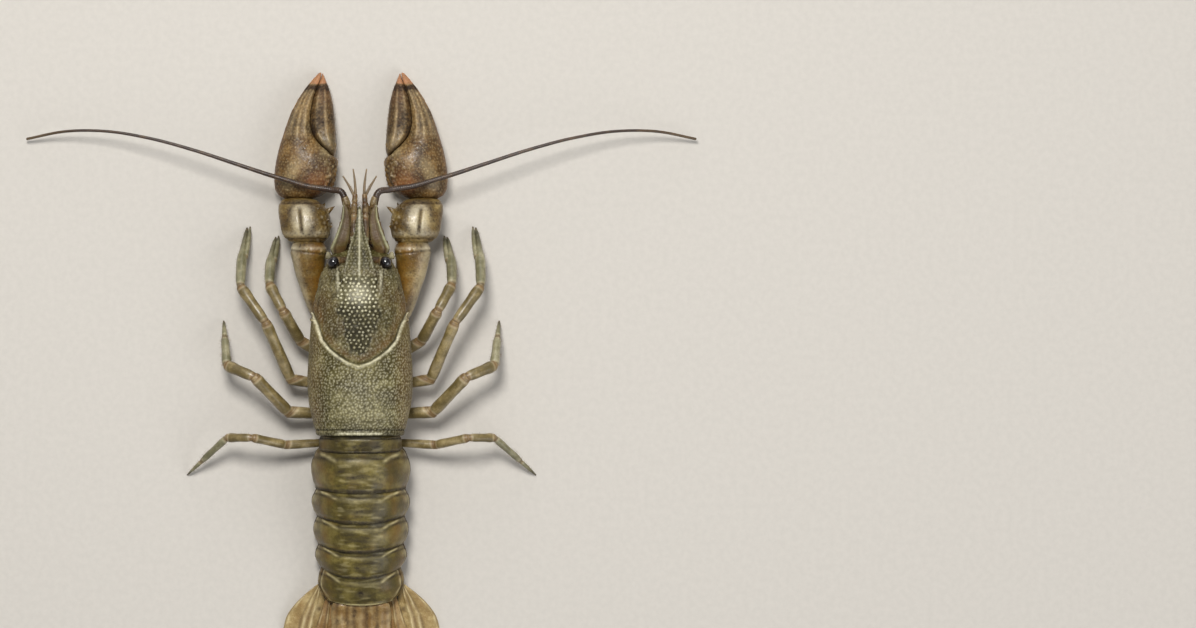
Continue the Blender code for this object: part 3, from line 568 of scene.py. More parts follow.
def shellLook(name, deep, main, light, pale=(222, 205, 160), dark=(38, 26, 16), warm=(190, 110, 60),
              blotches=300.0, freckles=0.5, flecks=0.3, furrows=0.0, pitSize=2400.0, pits=0.5,
              grainSize=2600.0, grains=0.3, ripple=0.3, bump=0.25, rough=(0.3, 0.5), coat=0.3, gloss=0.45,
              soft=0.0):
    # blotches run from deep to light; pale, dark and warm tint what the masks of those names mark
    look, tree, shader = newLook(name)
    colouring = addNode(tree, "ShaderNodeGroup", node_tree=mottle)
    feed(tree, colouring, {"Deep": linear(*deep), "Main": linear(*main), "Light": linear(*light),
                           "Patches": blotches, "Freckles": freckles, "Flecks": flecks, "Grain size": grainSize,
                           "Furrows": furrows})
    colour = colouring.outputs["Colour"]
    worn = rangeNode(tree, noiseNode(tree, placeNode(tree), 1500.0, 4, 0.65), 0.32, 0.62, 0.55, 1.0)
    for mask, tint in (("warm", warm), ("pale", pale), ("dark", dark)):
        painted = addNode(tree, "ShaderNodeAttribute", attribute_name=mask)
        share = mathNode(tree, "MULTIPLY", painted.outputs["Fac"], worn, clamp=True)
        colour = mixColour(tree, share, colour, linear(*tint))
    # dark hollows stay duller than the rest; share is now that of the dark mask
    wet = rangeNode(tree, colouring.outputs["Wet"], 0, 1, *rough)
    dull = mathNode(tree, "ADD", wet, times(tree, share, 0.3))
    varnish = rangeNode(tree, share, 0, 1, coat, 0)
    height = addNode(tree, "ShaderNodeGroup", node_tree=grain)
    feed(tree, height, {"Pit size": pitSize, "Pits": pits, "Grain size": grainSize, "Grains": grains,
                        "Ripple": ripple})
    feed(tree, shader, {"Base Color": colour, "Roughness": dull, "Coat Weight": varnish,
                        "Normal": bumpNode(tree, height.outputs["Height"], bump, 0.0003),
                        "Coat Roughness": 0.22, "IOR": 1.52, "Specular IOR Level": gloss})
    if soft:
        feed(tree, shader, {"Subsurface Weight": soft, "Subsurface Radius": (0.0012, 0.0008, 0.0004),
                            "Subsurface Scale": 1.0})
    return look


carapaceLook = shellLook(
    "grainy olive shell", (62, 54, 19), (106, 97, 46), (160, 153, 114),
    pale=(226, 220, 188), dark=(34, 30, 12), warm=(120, 84, 34), blotches=260, freckles=0.3, flecks=0.7,
    furrows=0.55, pitSize=1900, pits=0.2, grainSize=2000, grains=1.0, bump=0.32, rough=(0.38, 0.52),
    coat=0.2, gloss=0.25)
abdomenLook = shellLook(
    "banded olive plates", (62, 53, 14), (96, 83, 26), (130, 118, 66),
    pale=(214, 200, 148), dark=(32, 23, 8), warm=(112, 80, 28), blotches=260, freckles=0.4, flecks=0.15,
    pitSize=1500, grains=0.15, bump=0.18, rough=(0.34, 0.5), coat=0.22, gloss=0.35)
clawLook = shellLook(
    "pitted brown claw", (68, 46, 14), (112, 80, 37), (146, 116, 68),
    pale=(216, 194, 144), dark=(30, 19, 9), warm=(172, 102, 68), blotches=340, freckles=0.75, flecks=0.75,
    pitSize=1700, pits=0.9, grains=0.25, bump=0.35, rough=(0.36, 0.52), coat=0.2, gloss=0.33)
armLook = shellLook(
    "tan arm shell", (80, 59, 12), (122, 97, 41), (172, 153, 104),
    pale=(228, 217, 186), dark=(40, 26, 9), warm=(118, 82, 26), freckles=0.4, flecks=0.4, pitSize=1700,
    pits=0.6, grains=0.2, bump=0.3, rough=(0.34, 0.5), coat=0.22)
legLook = shellLook(
    "tan leg shell", (98, 84, 46), (132, 114, 70), (166, 150, 108),
    pale=(222, 208, 176), dark=(52, 44, 26), warm=(180, 134, 88), blotches=500, freckles=0.4, flecks=0.25,
    pitSize=2600, pits=0.4, grains=0.2, bump=0.22, rough=(0.3, 0.48))
handLook = shellLook(
    "grey-green leg hands", (108, 104, 74), (142, 136, 104), (170, 164, 134),
    pale=(214, 206, 178), dark=(38, 36, 24), warm=(180, 142, 98), blotches=500, freckles=0.35,
    flecks=0.25, pitSize=2600, pits=0.4, grains=0.15, bump=0.2, rough=(0.28, 0.45))
tailLook = shellLook(
    "ridged tan tail", (122, 96, 44), (166, 142, 90), (198, 178, 128),
    pale=(218, 202, 156), dark=(58, 38, 12), warm=(138, 90, 34), blotches=340, freckles=0.45,
    pitSize=2100, bump=0.3, rough=(0.34, 0.52))
bellyLook = shellLook(
    "pale membrane", (138, 124, 92), (172, 160, 130), (200, 190, 164),
    pale=(222, 208, 172), dark=(96, 70, 36), warm=(176, 120, 70), blotches=260, freckles=0.2, flecks=0.1,
    pitSize=1500, pits=0.2, grains=0.1, ripple=0.8, rough=(0.36, 0.55), soft=0.15)
feelerLook = shellLook(
    "dark ringed feeler", (30, 20, 12), (58, 42, 26), (92, 72, 46),
    pale=(160, 136, 96), dark=(20, 13, 8), warm=(96, 56, 28), blotches=700, freckles=0.4, flecks=0.1,
    pitSize=3000, pits=0.2, grains=0.2, bump=0.2, rough=(0.34, 0.5))
mouthLook = shellLook(
    "brown mouth limbs", (58, 40, 16), (98, 76, 40), (146, 124, 80),
    pale=(200, 178, 130), dark=(34, 22, 10), warm=(150, 96, 44), blotches=380, freckles=0.45,
    pitSize=2000, bump=0.3)
scaleLook = shellLook(
    "antennal scale", (72, 58, 28), (100, 86, 48), (134, 124, 84),
    pale=(190, 192, 154), dark=(52, 36, 18), warm=(112, 80, 40), blotches=600, freckles=0.25,
    pitSize=2600, pits=0.2, bump=0.3, rough=(0.3, 0.48))
hairLook = shellLook(
    "amber bristle", (92, 66, 30), (140, 108, 60), (186, 156, 104),
    blotches=900, freckles=0.2, flecks=0.1, pits=0.0, grains=0.0, ripple=0.1, bump=0.1, rough=(0.45, 0.6),
    coat=0.05)

print("tools and materials ready")


# ------- carapace: shell over head and thorax with its beak, one piece with an engraved neck groove

shell = {
    # y, half width, top, height of the widest line, underside
    "stations": [(-23.2, 4.5, 11.6, 10.5, 9.5), (-22.4, 5.2, 12.8, 10.9, 8.9), (-21.2, 5.75, 14.9, 11.5, 8.5),
                 (-20.2, 6.3, 16.2, 11.8, 8.3), (-19.2, 6.9, 16.85, 12.0, 8.15),
                 (-17.0, 7.45, 17.6, 12.0, 7.8), (-13.3, 8.3, 18.4, 12.0, 7.2), (-9.4, 8.8, 19.0, 11.6, 6.4),
                 (-5.0, 9.15, 19.25, 11.2, 5.9), (-1.0, 9.36, 19.3, 11.0, 5.75), (3.5, 9.2, 19.1, 11.0, 5.75),
                 (6.8, 8.55, 18.5, 11.0, 5.8), (9.9, 7.8, 17.35, 10.8, 6.0)],
    "sides": 96, "rows": 110,
    # beak: y, half width, top of its margins, underside
    "beak": [(-31.3, 0.15, 15.0, 14.6), (-30.6, 0.34, 15.3, 14.5), (-29.3, 0.56, 15.7, 14.5),
             (-27.6, 0.8, 16.15, 14.5), (-26.3, 1.0, 16.4, 14.6), (-25.2, 1.42, 16.65, 14.7),
             (-23.0, 2.08, 17.1, 14.9), (-21.3, 2.5, 17.35, 15.0), (-19.3, 2.95, 17.75, 15.2),
             (-17.2, 3.1, 17.95, 15.4), (-14.0, 2.5, 18.0, 15.6)],
    "groove": [(12.0, -18.0), (8.6, -11.9), (7.65, -9.9), (6.75, -7.2), (5.4, -5.6), (3.7, -4.25),
               (1.95, -3.2), (0.0, -2.6)],
    "spines": [((1.3, -24.9, 16.4), (0.35, -1, 0.15), 1.3, 0.34),
               ((3.9, -18.9, 16.6), (0.05, -1, 0.3), 2.0, 0.5),
               ((5.5, -21.9, 12.2), (0.25, -1, 0.1), 1.35, 0.85),
               ((8.25, -11.7, 12.9), (0.75, -0.85, 0.1), 1.2, 0.42),
               ((8.1, -13.4, 10.9), (0.7, -0.8, 0.0), 0.9, 0.34),
               ((8.45, -10.6, 14.4), (0.7, -0.7, 0.1), 0.8, 0.32)],
    "ridge": [(3.85, -19.6, 16.5, 0.3, 0.3), (3.88, -18.4, 17.0, 0.42, 0.36), (3.8, -16.8, 17.35, 0.36, 0.3),
              (3.5, -14.6, 17.65, 0.25, 0.2)],
    "orbit": (4.95, -21.75, 15.0), "socket": (1.75, 1.85, 1.75),
    "voxel": 0.16,
}


def shellRings(data):
    c, s = ellipsePower(np.arange(data["sides"]) * 2 * np.pi / data["sides"], 2.2)
    cl, sl = ellipsePower(np.arange(data["sides"]) * 2 * np.pi / data["sides"], 2.8)
    rings = []
    for y, half, top, wide, low in smoothRows(data["stations"], data["rows"]):
        x = np.where(s >= 0, half * c, half * cl)
        z = np.where(s >= 0, wide + (top - wide) * s, wide + (wide - low) * sl)
        rings.append(np.stack([x, np.full_like(x, y), z], axis=1))
    front, rear = rings[0], rings[-1]
    caps = [front.mean(axis=0) + (front - front.mean(axis=0)) * share + np.array((0, -0.55 * (1 - share), 0))
            for share in (0.3, 0.7, 0.92)]
    tails = [rear.mean(axis=0) + (rear - rear.mean(axis=0)) * share for share in (0.96, 0.6)]
    return caps + rings + tails


def beakRings(data):
    rings = []
    for y, half, top, low in smoothRows(data["beak"], 60):
        trough = min(0.42, half * 0.3)
        share = np.linspace(0, 1, 13)
        rim = np.exp(-((share - 0.88) / 0.1) ** 2) * 0.16 * min(1, half)
        keel = np.exp(-(share / 0.13) ** 2) * 0.24 * min(1, half)
        z = top - trough * (1 - share ** 2.5) + rim + keel - np.where(share > 0.95, 0.12, 0)
        upper = [(half * a, height) for a, height in zip(share, z)]
        lower = [(half * 0.9, top - 0.55 * (top - low)), (half * 0.55, low + 0.25), (0, low)]
        side = upper + lower
        outline = side + [(-a, b) for a, b in reversed(side[1:-1])]
        rings.append([(a, y, b) for a, b in outline])
    return rings


def distanceToLine(points, line):
    # nearest distance in plan from points to a bent line mirrored over the middle
    flat = np.stack([np.abs(points[:, 0]), points[:, 1]], axis=1)
    best = np.full(len(flat), 1e9)
    signed = np.zeros(len(flat))
    for a, b in zip(np.array(line)[:-1], np.array(line)[1:]):
        way = b - a
        t = np.clip(((flat - a) @ way) / (way @ way), 0, 1)
        gap = flat - (a + t[:, None] * way)
        far = np.linalg.norm(gap, axis=1)
        side = np.sign(gap[:, 1] + 1e-9)
        signed = np.where(far < best, side * far, signed)
        best = np.minimum(best, far)
    return signed


def carapaceForm(data):
    forms = [gridPiece("shellForm", shellRings(data)), gridPiece("beakForm", beakRings(data))]
    for side in (1, -1):
        forms.append(limbPiece("ridgeForm", [(side * x, *rest) for x, *rest in data["ridge"]], 10))
        for (x, y, z), (dx, dy, dz), length, radius in data["spines"]:
            forms.append(spinePiece("spineForm", (side * x, y, z), (side * dx, dy, dz), length, radius))
    piece = clay("carapace", forms, data["voxel"], 3)
    for side in (1, -1):
        x, y, z = data["orbit"]
        cut(piece, ballPiece("socket", (side * x, y, z), data["socket"], 40, 24))
    return remeshed(piece, data["voxel"], 2)


def makeCarapace(data):
    piece = carapaceForm(data)
    points, x, y, z, _ = measured(piece)
    side = np.abs(x)
    lean = points.copy()
    lean[:, 1] += 0.75 * np.clip(13.4 - z, 0, None)
    away = distanceToLine(lean, data["groove"])
    around = np.arctan2(x / 9.2, (z - 11.0) / 8.3) * 8.8
    # where on the shell: upper side, before and behind the neck groove, beak, stomach field, cheeks
    upper = smoothStep(6.6, 7.6, z)
    behind = smoothStep(0.2, 1.2, away)
    ahead = smoothStep(-0.3, -1.2, away)
    groove = hump(away, 0, 0.26) * upper
    beak = smoothStep(-19.0, -21.5, y) * smoothStep(14.2, 14.8, z) * smoothStep(3.4, 2.6, side)
    reach = np.interp(y, (-19, -16, -13, -9, -5), (2.6, 3.9, 3.6, 2.7, 1.6)) + 0.9 * cloud(points, 1.6, 44)
    gastric = smoothStep(reach + 0.6, reach - 0.4, side) * smoothStep(-19.6, -18.0, y)
    gastric = gastric * smoothStep(-1.5, -2.4, away) * (z > 15)
    cheek = ahead * (1 - gastric) * (1 - beak) * smoothStep(-22.5, -21, y)
    # tubercles of several sizes, and noise
    small = lattice(around, y, 0.56, 0.75, 1.0)
    medium = lattice(x, y, 0.84, 0.5, 2.0)
    beads = lattice(x, y, 0.62, 0.4, 5.0)
    large = lattice(around, y, 1.15, 0.9, 3.0)
    soft = cloud(points, 2.6, 4)
    wavy = cloud(points, 5.0, 14)
    grainy = smoothStep(0.42, 0.12, small)
    studs = smoothStep(0.38, 0.18, medium)
    beady = smoothStep(0.34, 0.16, beads) * smoothStep(-18.0, -19.2, y) * (z > 15.2)
    beady = beady * (1 - hump(side, 0, 0.3))
    # two lines along the back that lie closest together at their middle
    areola = np.exp(-((side - 0.95 - 0.05 * (y - 2.5) ** 2 * 0.4) / 0.14) ** 2)
    areola = areola * behind * smoothStep(8.5, 7.5, y)
    rearGroove = hump(y, 8.95, 0.2)
    rim = smoothStep(9.15, 9.4, y)
    lipZ = 6.75 + 0.5 * smoothStep(-6, -20, y) * 3
    fromEye = np.stack([side, y, z], axis=1) - np.array(data["orbit"])
    orbit = np.linalg.norm(fromEye / np.array(data["socket"]), axis=1)

    height = -0.34 * groove + 0.07 * hump(away, 0.5, 0.22) * upper
    height += behind * (1 - rim) * upper * 0.1 * grainy
    height += gastric * (0.2 * studs - 0.03) + 0.08 * beady
    height += cheek * upper * (0.08 * grainy + 0.07 * smoothStep(0.24, 0.1, large))
    height += -0.07 * areola - 0.16 * rearGroove + 0.06 * rim + 0.05 * soft * upper * (1 - beak)
    height += 0.16 * hump(z, lipZ, 0.22) * (y > -22) - 0.25 * smoothStep(lipZ - 0.25, lipZ - 0.7, z)
    height += 0.12 * hump(orbit, 1.12, 0.09) * (orbit > 1.0)
    puff(piece, height)

    line = hump(away, 0.14, 0.19 + 0.07 * cloud(points, 0.7, 46)) * smoothStep(11.5, 14.0, z)
    line = line * (0.55 + 0.35 * smoothStep(-0.3, 0.2, soft) + 0.35 * grainy)
    keel = hump(side, 0, 0.2) * smoothStep(-17, -19.5, y) * (z > 15.2)
    margin = beak * hump(side / tableAt(data["beak"], y, 1), 0.9, 0.1)
    # shine: a painted highlight, a pale spot down the middle of the stomach field where the key lamp's
    # reflection falls; it also lightens the tubercle tops there
    shine = hump(y, -15.6, 2.0) * hump(side, 0, 2.0)
    tops = 0.8 + 0.35 * cloud(points, 1.2, 45) + 0.6 * shine - 0.3 * smoothStep(-13.5, -11.5, y)
    tops = tops * smoothStep(0.33, 0.19, medium) * gastric
    tops = tops + cheek * (0.25 * smoothStep(0.2, 0.1, large) + 0.25 * grainy) + 0.3 * beady
    ridge = hump(side, 3.87, 0.3) * smoothStep(-20.2, -19.2, y) * smoothStep(-14.8, -17, y) * (z > 16.6)
    knob = hump(side, 6.1, 0.9) * hump(y, -22.8, 0.9) * hump(z, 12, 1.4)
    head = ahead * upper * (1 - line)

    pale = 0.95 * line + 0.75 * keel + 0.3 * margin + 0.85 * tops * (1 - 0.3 * soft) + 0.5 * ridge
    pale += 0.85 * hump(y, 9.55, 0.17) * smoothStep(4.6, 3.4, side)
    # the last term is a painted highlight, a soft pale glow down the middle of the thorax
    pale += behind * upper * (grainy * (0.3 + 0.12 * wavy) + 0.1 * hump(side, 0, 4.6) * smoothStep(-2, 3, y))
    # the shine term is the painted highlight on the stomach field
    pale += 0.55 * shine * gastric + 0.6 * knob
    pale += smoothStep(lipZ - 0.1, lipZ - 0.5, z) + 0.35 * hump(z, lipZ + 0.2, 0.3)

    dark = 0.6 * hump(away, -0.26, 0.2) * upper + 0.85 * rearGroove
    dark += 0.5 * rim * smoothStep(3.6, 4.8, side)
    dark += 0.3 * head * (1 - tops) + 0.22 * beak * (1 - keel) * (1 - 0.8 * beady)
    dark += 0.75 * hump(orbit, 1.0, 0.12)
    dark += 0.35 * beak * hump(side / 1.6, 0.5, 0.25) * (1 - keel)
    deepGastric = gastric * smoothStep(-14.6, -11.8, y)
    dark += (0.4 * gastric * (1 - shine) + 0.75 * deepGastric) * smoothStep(0.2, 0.36, medium)
    # the second term darkens the lower flanks of the shell: painted shade
    dark += 0.3 * areola + 0.4 * smoothStep(12, 8, z) * upper * (0.5 + 0.5 * soft)
    dark += 0.3 * upper * behind * smoothStep(0.3, 0.55, small)
    dark += cheek * (0.12 + 0.35 * patches(points * np.array((1, 0.35, 1)), 1.1, 19, 0.1, 0.6))

    warm = 0.35 * knob + 0.75 * smoothStep(-2.4, -0.9, away) * ahead * upper * (0.7 + 0.5 * soft)
    warm += 0.5 * smoothStep(5.5, 8.5, side) * upper * (0.7 + 0.5 * wavy) + 0.3 * cheek * (0.5 + wavy)
    paintAll(piece, pale=pale, dark=dark, warm=warm)
    finishPiece(piece, carapaceLook, "shell", "head", "thorax", bend=35)


makeCarapace(shell)
print("carapace ready", len(bodyParts[-1].data.polygons))


# ------- abdomen: six overlapping plates with side lobes, and the soft belly under them

tail = {
    # front y, rear y, rear bulge, half widths, top front, top rear, lower edge front and rear
    "plates": [(10.1, 13.05, 0.2, (7.1, 7.45, 7.35), 16.35, 15.8, 6.3, 6.3),
               (13.0, 20.35, 0.8, (8.1, 8.95, 8.1), 15.4, 14.7, 3.4, 3.0),
               (20.3, 25.85, 1.4, (7.95, 8.85, 7.95), 14.3, 13.4, 2.9, 2.6),
               (25.8, 31.1, 1.6, (7.8, 8.6, 7.75), 12.9, 11.7, 2.5, 2.2),
               (31.05, 35.8, 2.0, (7.6, 8.3, 7.2), 11.2, 9.8, 2.1, 2.0),
               (35.7, 40.6, 0.9, (7.05, 7.75, 6.0), 9.3, 6.7, 2.3, 3.5)],
    # half arch: share of half width, share of height
    "arch": [(0.0, 1.0), (0.3, 0.975), (0.56, 0.89), (0.78, 0.73), (0.93, 0.5), (1.0, 0.27), (0.985, 0.1),
             (0.95, 0.0)],
    "thickness": 0.34, "tuck": 1.1,
}


def archCurve(count):
    rows = smoothRows([(a, b, 0.0) for a, b in tail["arch"]], count)
    half = rows[:, :2]
    return np.concatenate([half[:0:-1] * np.array((-1, 1)), half])


def plateRows(index, rowsAlong=30, rowsAcross=44):
    front, rear, bulge, widths, topFront, topRear, lowFront, lowRear = tail["plates"][index]
    before = tail["plates"][index - 1][2] if index else 0.1
    frontHalf, wideHalf, rearHalf = widths
    halves = (frontHalf, (frontHalf + wideHalf) / 2 + 0.14, wideHalf, wideHalf,
              (wideHalf + rearHalf) / 2 + 0.1, rearHalf)
    share, height = archCurve(rowsAcross).T
    # side lobes: the lower edge is shorter than the back and rounded at both corners
    lobe = np.clip((0.86 if index == 5 else 0.5) + 0.55 * np.sqrt(np.clip(height / 0.35, 0, 1)), 0, 1)
    if index == 0:
        lobe = np.ones_like(lobe)
    yFront = front - before * share ** 2
    yRear = rear - bulge * share ** 2
    middle = (yFront + yRear) / 2 + 0.35 * (1 - lobe) * (rear - front)
    rows = []
    tuck = tail["tuck"] / (rear - front)
    for along in np.linspace(-tuck, 1, rowsAlong):
        inside = max(0.0, -along) / tuck
        s = max(along, 0.0)
        half = np.interp(s, (0, 0.16, 0.36, 0.55, 0.8, 1), halves) - 0.7 * inside
        top = topFront + (topRear - topFront) * s + 0.12 * math.sin(s * math.pi) - 0.1
        top = top - 0.75 * inside ** 1.2
        low = lowFront + (lowRear - lowFront) * s
        y = middle + (yFront + (yRear - yFront) * along - middle) * lobe
        rows.append(np.stack([share * half, y, low + (top - low) * height], axis=1))
    return rows


def plateForm(index):
    piece = gridPiece("tailPlate_%d" % (index + 1), plateRows(index), rolled=False)
    if normalsOf(piece)[:, 2].mean() < 0:
        flipFaces(piece)
    smooth = piece.modifiers.new("smooth", "SUBSURF")
    smooth.levels = smooth.render_levels = 1
    wall = piece.modifiers.new("wall", "SOLIDIFY")
    wall.thickness, wall.offset, wall.use_even_offset = tail["thickness"], -1, True
    lip = piece.modifiers.new("lip", "BEVEL")
    lip.width, lip.segments = 0.09, 2
    lip.limit_method, lip.angle_limit = "ANGLE", math.radians(50)
    applyAll(piece)
    return piece


def makePlate(index):
    front, rear, bulge, widths, topFront, _, _, lowRear = tail["plates"][index]
    before = tail["plates"][index - 1][2] if index else 0.1
    piece = plateForm(index)
    points, x, y, z, up = measured(piece)
    side = np.abs(x)
    share = side / max(widths)
    along = (y - (front - before * share ** 2)) / (rear - front - (bulge - before) * share ** 2)
    height = (z - lowRear) / (topFront - lowRear)
    outer = smoothStep(-0.1, 0.3, (normalsOf(piece)[:, 0] * np.sign(x)) * 0.8 + up)
    soft = cloud(points, 2.2, index + 5)
    step = hump(along, 0.16, 0.05) * smoothStep(0.12, 0.3, height)
    slope = 0.16 * np.clip(along, 0, 1)
    seam = hump(height, 0.36 - slope, 0.035) * (index > 0)
    lead = 0.06 + (0.78 - share) * 0.5
    flank = smoothStep(0.44, 0.54, share)
    relief = -0.09 * step + 0.05 * hump(along, 0.97, 0.05) - 0.05 * hump(along, 0.88, 0.04)
    relief = relief + 0.08 * hump(along, lead, 0.05) * flank - 0.09 * seam + 0.05 * soft
    puff(piece, outer * (relief - 0.035 * spots(points, 0.8, index + 2)))

    broken = patches(points, 0.9, index + 31, -0.6, 0.2)
    streak = hump(along, lead, 0.045) * flank * smoothStep(0.83, 0.74, share) * (0.5 + 0.5 * broken)
    rib = hump(height, 0.3 + 0.1 * along, 0.03) * smoothStep(0.2, 0.35, along) * smoothStep(0.9, 0.75, along)
    edge = smoothStep(0.12, 0.03, height) + 0.4 * rib
    across = cloud(points * np.array((0.38, 1.7, 1)), 0.9, index + 61) * smoothStep(5.6, 3.0, side)
    # light: a painted highlight, pale bands across the middle of the plate where the lamp's reflection falls
    light = hump(along, 0.24, 0.07) + 0.6 * hump(along, 0.62, 0.1) * smoothStep(-0.3, 0.4, soft)
    light = hump(side, 0, 3.2) * light
    fold = 0.4 * (index > 0) * hump(height, 0.44 - slope, 0.03) * broken
    pale = (index > 0) * outer * (0.85 * streak + 0.5 * edge)
    # the light term adds the painted highlight
    pale = pale + outer * (0.3 * light + 0.22 * smoothStep(0.1, 0.5, across) + fold)
    pale += 0.3 * outer * hump(share, 0.95, 0.06) * hump(along, 0.35, 0.12) + 0.45 * (1 - outer)
    pale += (index == 5) * outer * 0.85 * hump(along, 0.985, 0.025) * (share < 0.85)

    spot = hump(side, 0, 0.45) * hump(along, 0.55, 0.12) * (index == 5)
    middle = hump(side, 0, 1.7) * (0.35 + 0.35 * soft)
    cloudy = patches(points * np.array((0.45, 1.3, 1)), 1.5, index + 41, 0.1)
    dark = 0.95 * smoothStep(0.885, 0.96, along) * (index != 5) + 0.6 * step + 0.6 * seam + 0.9 * spot
    # the last term darkens the front strip under and just behind the edge of the plate in front: painted shade
    dark += 0.4 * middle * smoothStep(0.35, 0.6, along) + 0.4 * smoothStep(0.08, 0.0, along)
    dark += 0.35 * hump(along, lead + 0.1, 0.04) * flank * smoothStep(0.85, 0.76, share)
    dark += 0.35 * cloudy * smoothStep(0.75, 0.4, share)
    dark += (0.4 * hump(along, 0.58 + 0.06 * soft, 0.09) * smoothStep(0.62, 0.35, share)
             * smoothStep(-0.5, 0.2, soft))
    # the first term darkens the outer flanks of the plate: painted shade
    dark += 0.3 * smoothStep(0.86, 1.0, share) + 0.42 * smoothStep(0.1, 0.5, -across) + 0.35 * (index == 0)

    warm = 0.4 * smoothStep(0.5, 0.8, share) * (0.6 + soft) + 0.3 * hump(height, 0.3, 0.12)
    paintAll(piece, pale=pale, dark=outer * dark, warm=outer * (warm + 0.2 * smoothStep(0.1, 0.5, soft)))
    finishPiece(piece, abdomenLook, "abdomen", "abdomen_%d" % (index + 1), bend=50)


def makeBelly():
    # thin skin between the plates with a cream bar under each one
    stations = []
    before = 0.1
    for front, rear, bulge, widths, topFront, topRear, lowFront, lowRear in tail["plates"]:
        for share in (0.1, 0.5, 0.9):
            y = front + (rear - front) * share - (before + (bulge - before) * share)
            half = np.interp(share, (0, 0.5, 1), widths) * 0.935
            low = lowFront + (lowRear - lowFront) * share
            top = topFront + (topRear - topFront) * share
            stations.append((y, half, low + (top - low) * 0.26, top - 1.1))
        before = bulge
    stations.append((y + 0.5, *stations[-1][1:]))
    places = [rear - 0.7 - bulge * 0.3 for _, rear, bulge, *_ in tail["plates"][1:5]]
    rings = []
    t = np.linspace(-1, 1, 41)
    for y, half, height, top in smoothRows(stations, 90):
        bar = sum(0.4 * math.exp(-((y - place) / 0.42) ** 2) for place in places)
        under = height - (0.25 + bar) * (1 - t ** 6)
        over = height + (top - height) * np.sqrt(np.clip(1 - t ** 2, 0, 1)) * 0.94
        rings.append([(half * a, y, b) for a, b in zip(t, under)]
                     + [(half * a * 0.98, y, b) for a, b in zip(t[::-1][1:-1], over[::-1][1:-1])])
    piece = gridPiece("belly", rings)
    _, x, y, _, _ = measured(piece)
    side = np.abs(x)
    bars = sum(hump(y, place, 0.5) for place in places)
    paintAll(piece, pale=0.9 * bars, dark=0.35 * hump(side, 5.4, 0.5) + 0.25 * hump(bars, 0.35, 0.15),
             warm=0.4 * hump(side, 6.4, 0.9))
    finishPiece(piece, bellyLook, "underside")


for index in range(6):
    makePlate(index)
makeBelly()
print("abdomen ready")


# ------- tail fan: thin ribbed blades with a suture and a fringe

fan = {
    # y, inner x, outer x, height of the mid plane, thickness
    "telson": [(40.2, -5.0, 5.0, 5.0, 1.6), (40.9, -5.25, 5.25, 4.85, 2.1), (41.8, -5.35, 5.35, 4.45, 1.8),
               (44.0, -5.28, 5.28, 4.0, 1.2), (47.3, -5.25, 5.25, 3.45, 0.95), (48.2, -4.85, 4.85, 3.35, 0.9),
               (51.0, -4.62, 4.62, 2.95, 0.75), (54.0, -4.3, 4.3, 2.75, 0.55)],
    "inner": [(38.9, 4.7, 6.2, 2.7, 0.7), (40.9, 4.6, 7.0, 2.5, 0.85), (42.4, 4.5, 7.45, 2.4, 0.85),
              (44.4, 4.35, 8.15, 2.2, 0.8), (47.0, 4.2, 9.25, 1.9, 0.75), (50.0, 4.1, 9.85, 1.65, 0.7),
              (52.0, 4.15, 9.75, 1.55, 0.65), (55.3, 4.2, 9.4, 1.5, 0.5)],
    "outer": [(36.9, 7.2, 7.9, 2.75, 0.9), (38.4, 6.75, 9.8, 2.2, 1.0), (40.4, 6.5, 11.9, 1.5, 0.9),
              (42.6, 6.8, 13.45, 1.12, 0.8), (45.2, 7.3, 14.15, 0.8, 0.72), (48.2, 7.7, 14.35, 0.52, 0.7),
              (50.6, 7.9, 14.15, 0.42, 0.64), (55.0, 7.6, 13.4, 0.3, 0.46)],
}


# ribs: place across, height, width; tones are how strongly a blade is painted
blades = {
    "telson": {"ribs": [(0.16, 0.14, 0.03), (0.5, 0.1, 0.05), (0.84, 0.14, 0.03), (0.33, 0.06, 0.03),
                        (0.67, 0.06, 0.03)],
               "suture": 47.9, "bow": -2.4, "roundFrom": 51.2, "power": 2.6, "rows": 110, "columns": 90,
               "seed": 11, "stripes": 26, "spotX": 99,
               "tones": {"rib": 0.25, "mottled": 0.4, "shade": 0.16, "warm": 0.35, "glow": 0}},
    "inner": {"ribs": [(0.5, 0.26, 0.05), (0.9, 0.08, 0.04)],
              "suture": None, "bow": 0.0, "roundFrom": 50.6, "power": 2.1, "rows": 100, "columns": 60,
              "seed": 19, "stripes": 20, "spotX": 7.6,
              "tones": {"rib": 0.6, "mottled": 0, "shade": 0.22, "warm": 0.45, "glow": 0}},
    "outer": {"ribs": [(0.3, 0.26, 0.045), (0.5, 0.1, 0.04), (0.93, 0.1, 0.03)],
              "suture": 50.0, "bow": 3.0, "roundFrom": 49.6, "power": 2.1, "rows": 100, "columns": 60,
              "seed": 19, "stripes": 26, "spotX": 7.6,
              "tones": {"rib": 0.6, "mottled": 0, "shade": 0, "warm": 0.1, "glow": 0.12}},
}


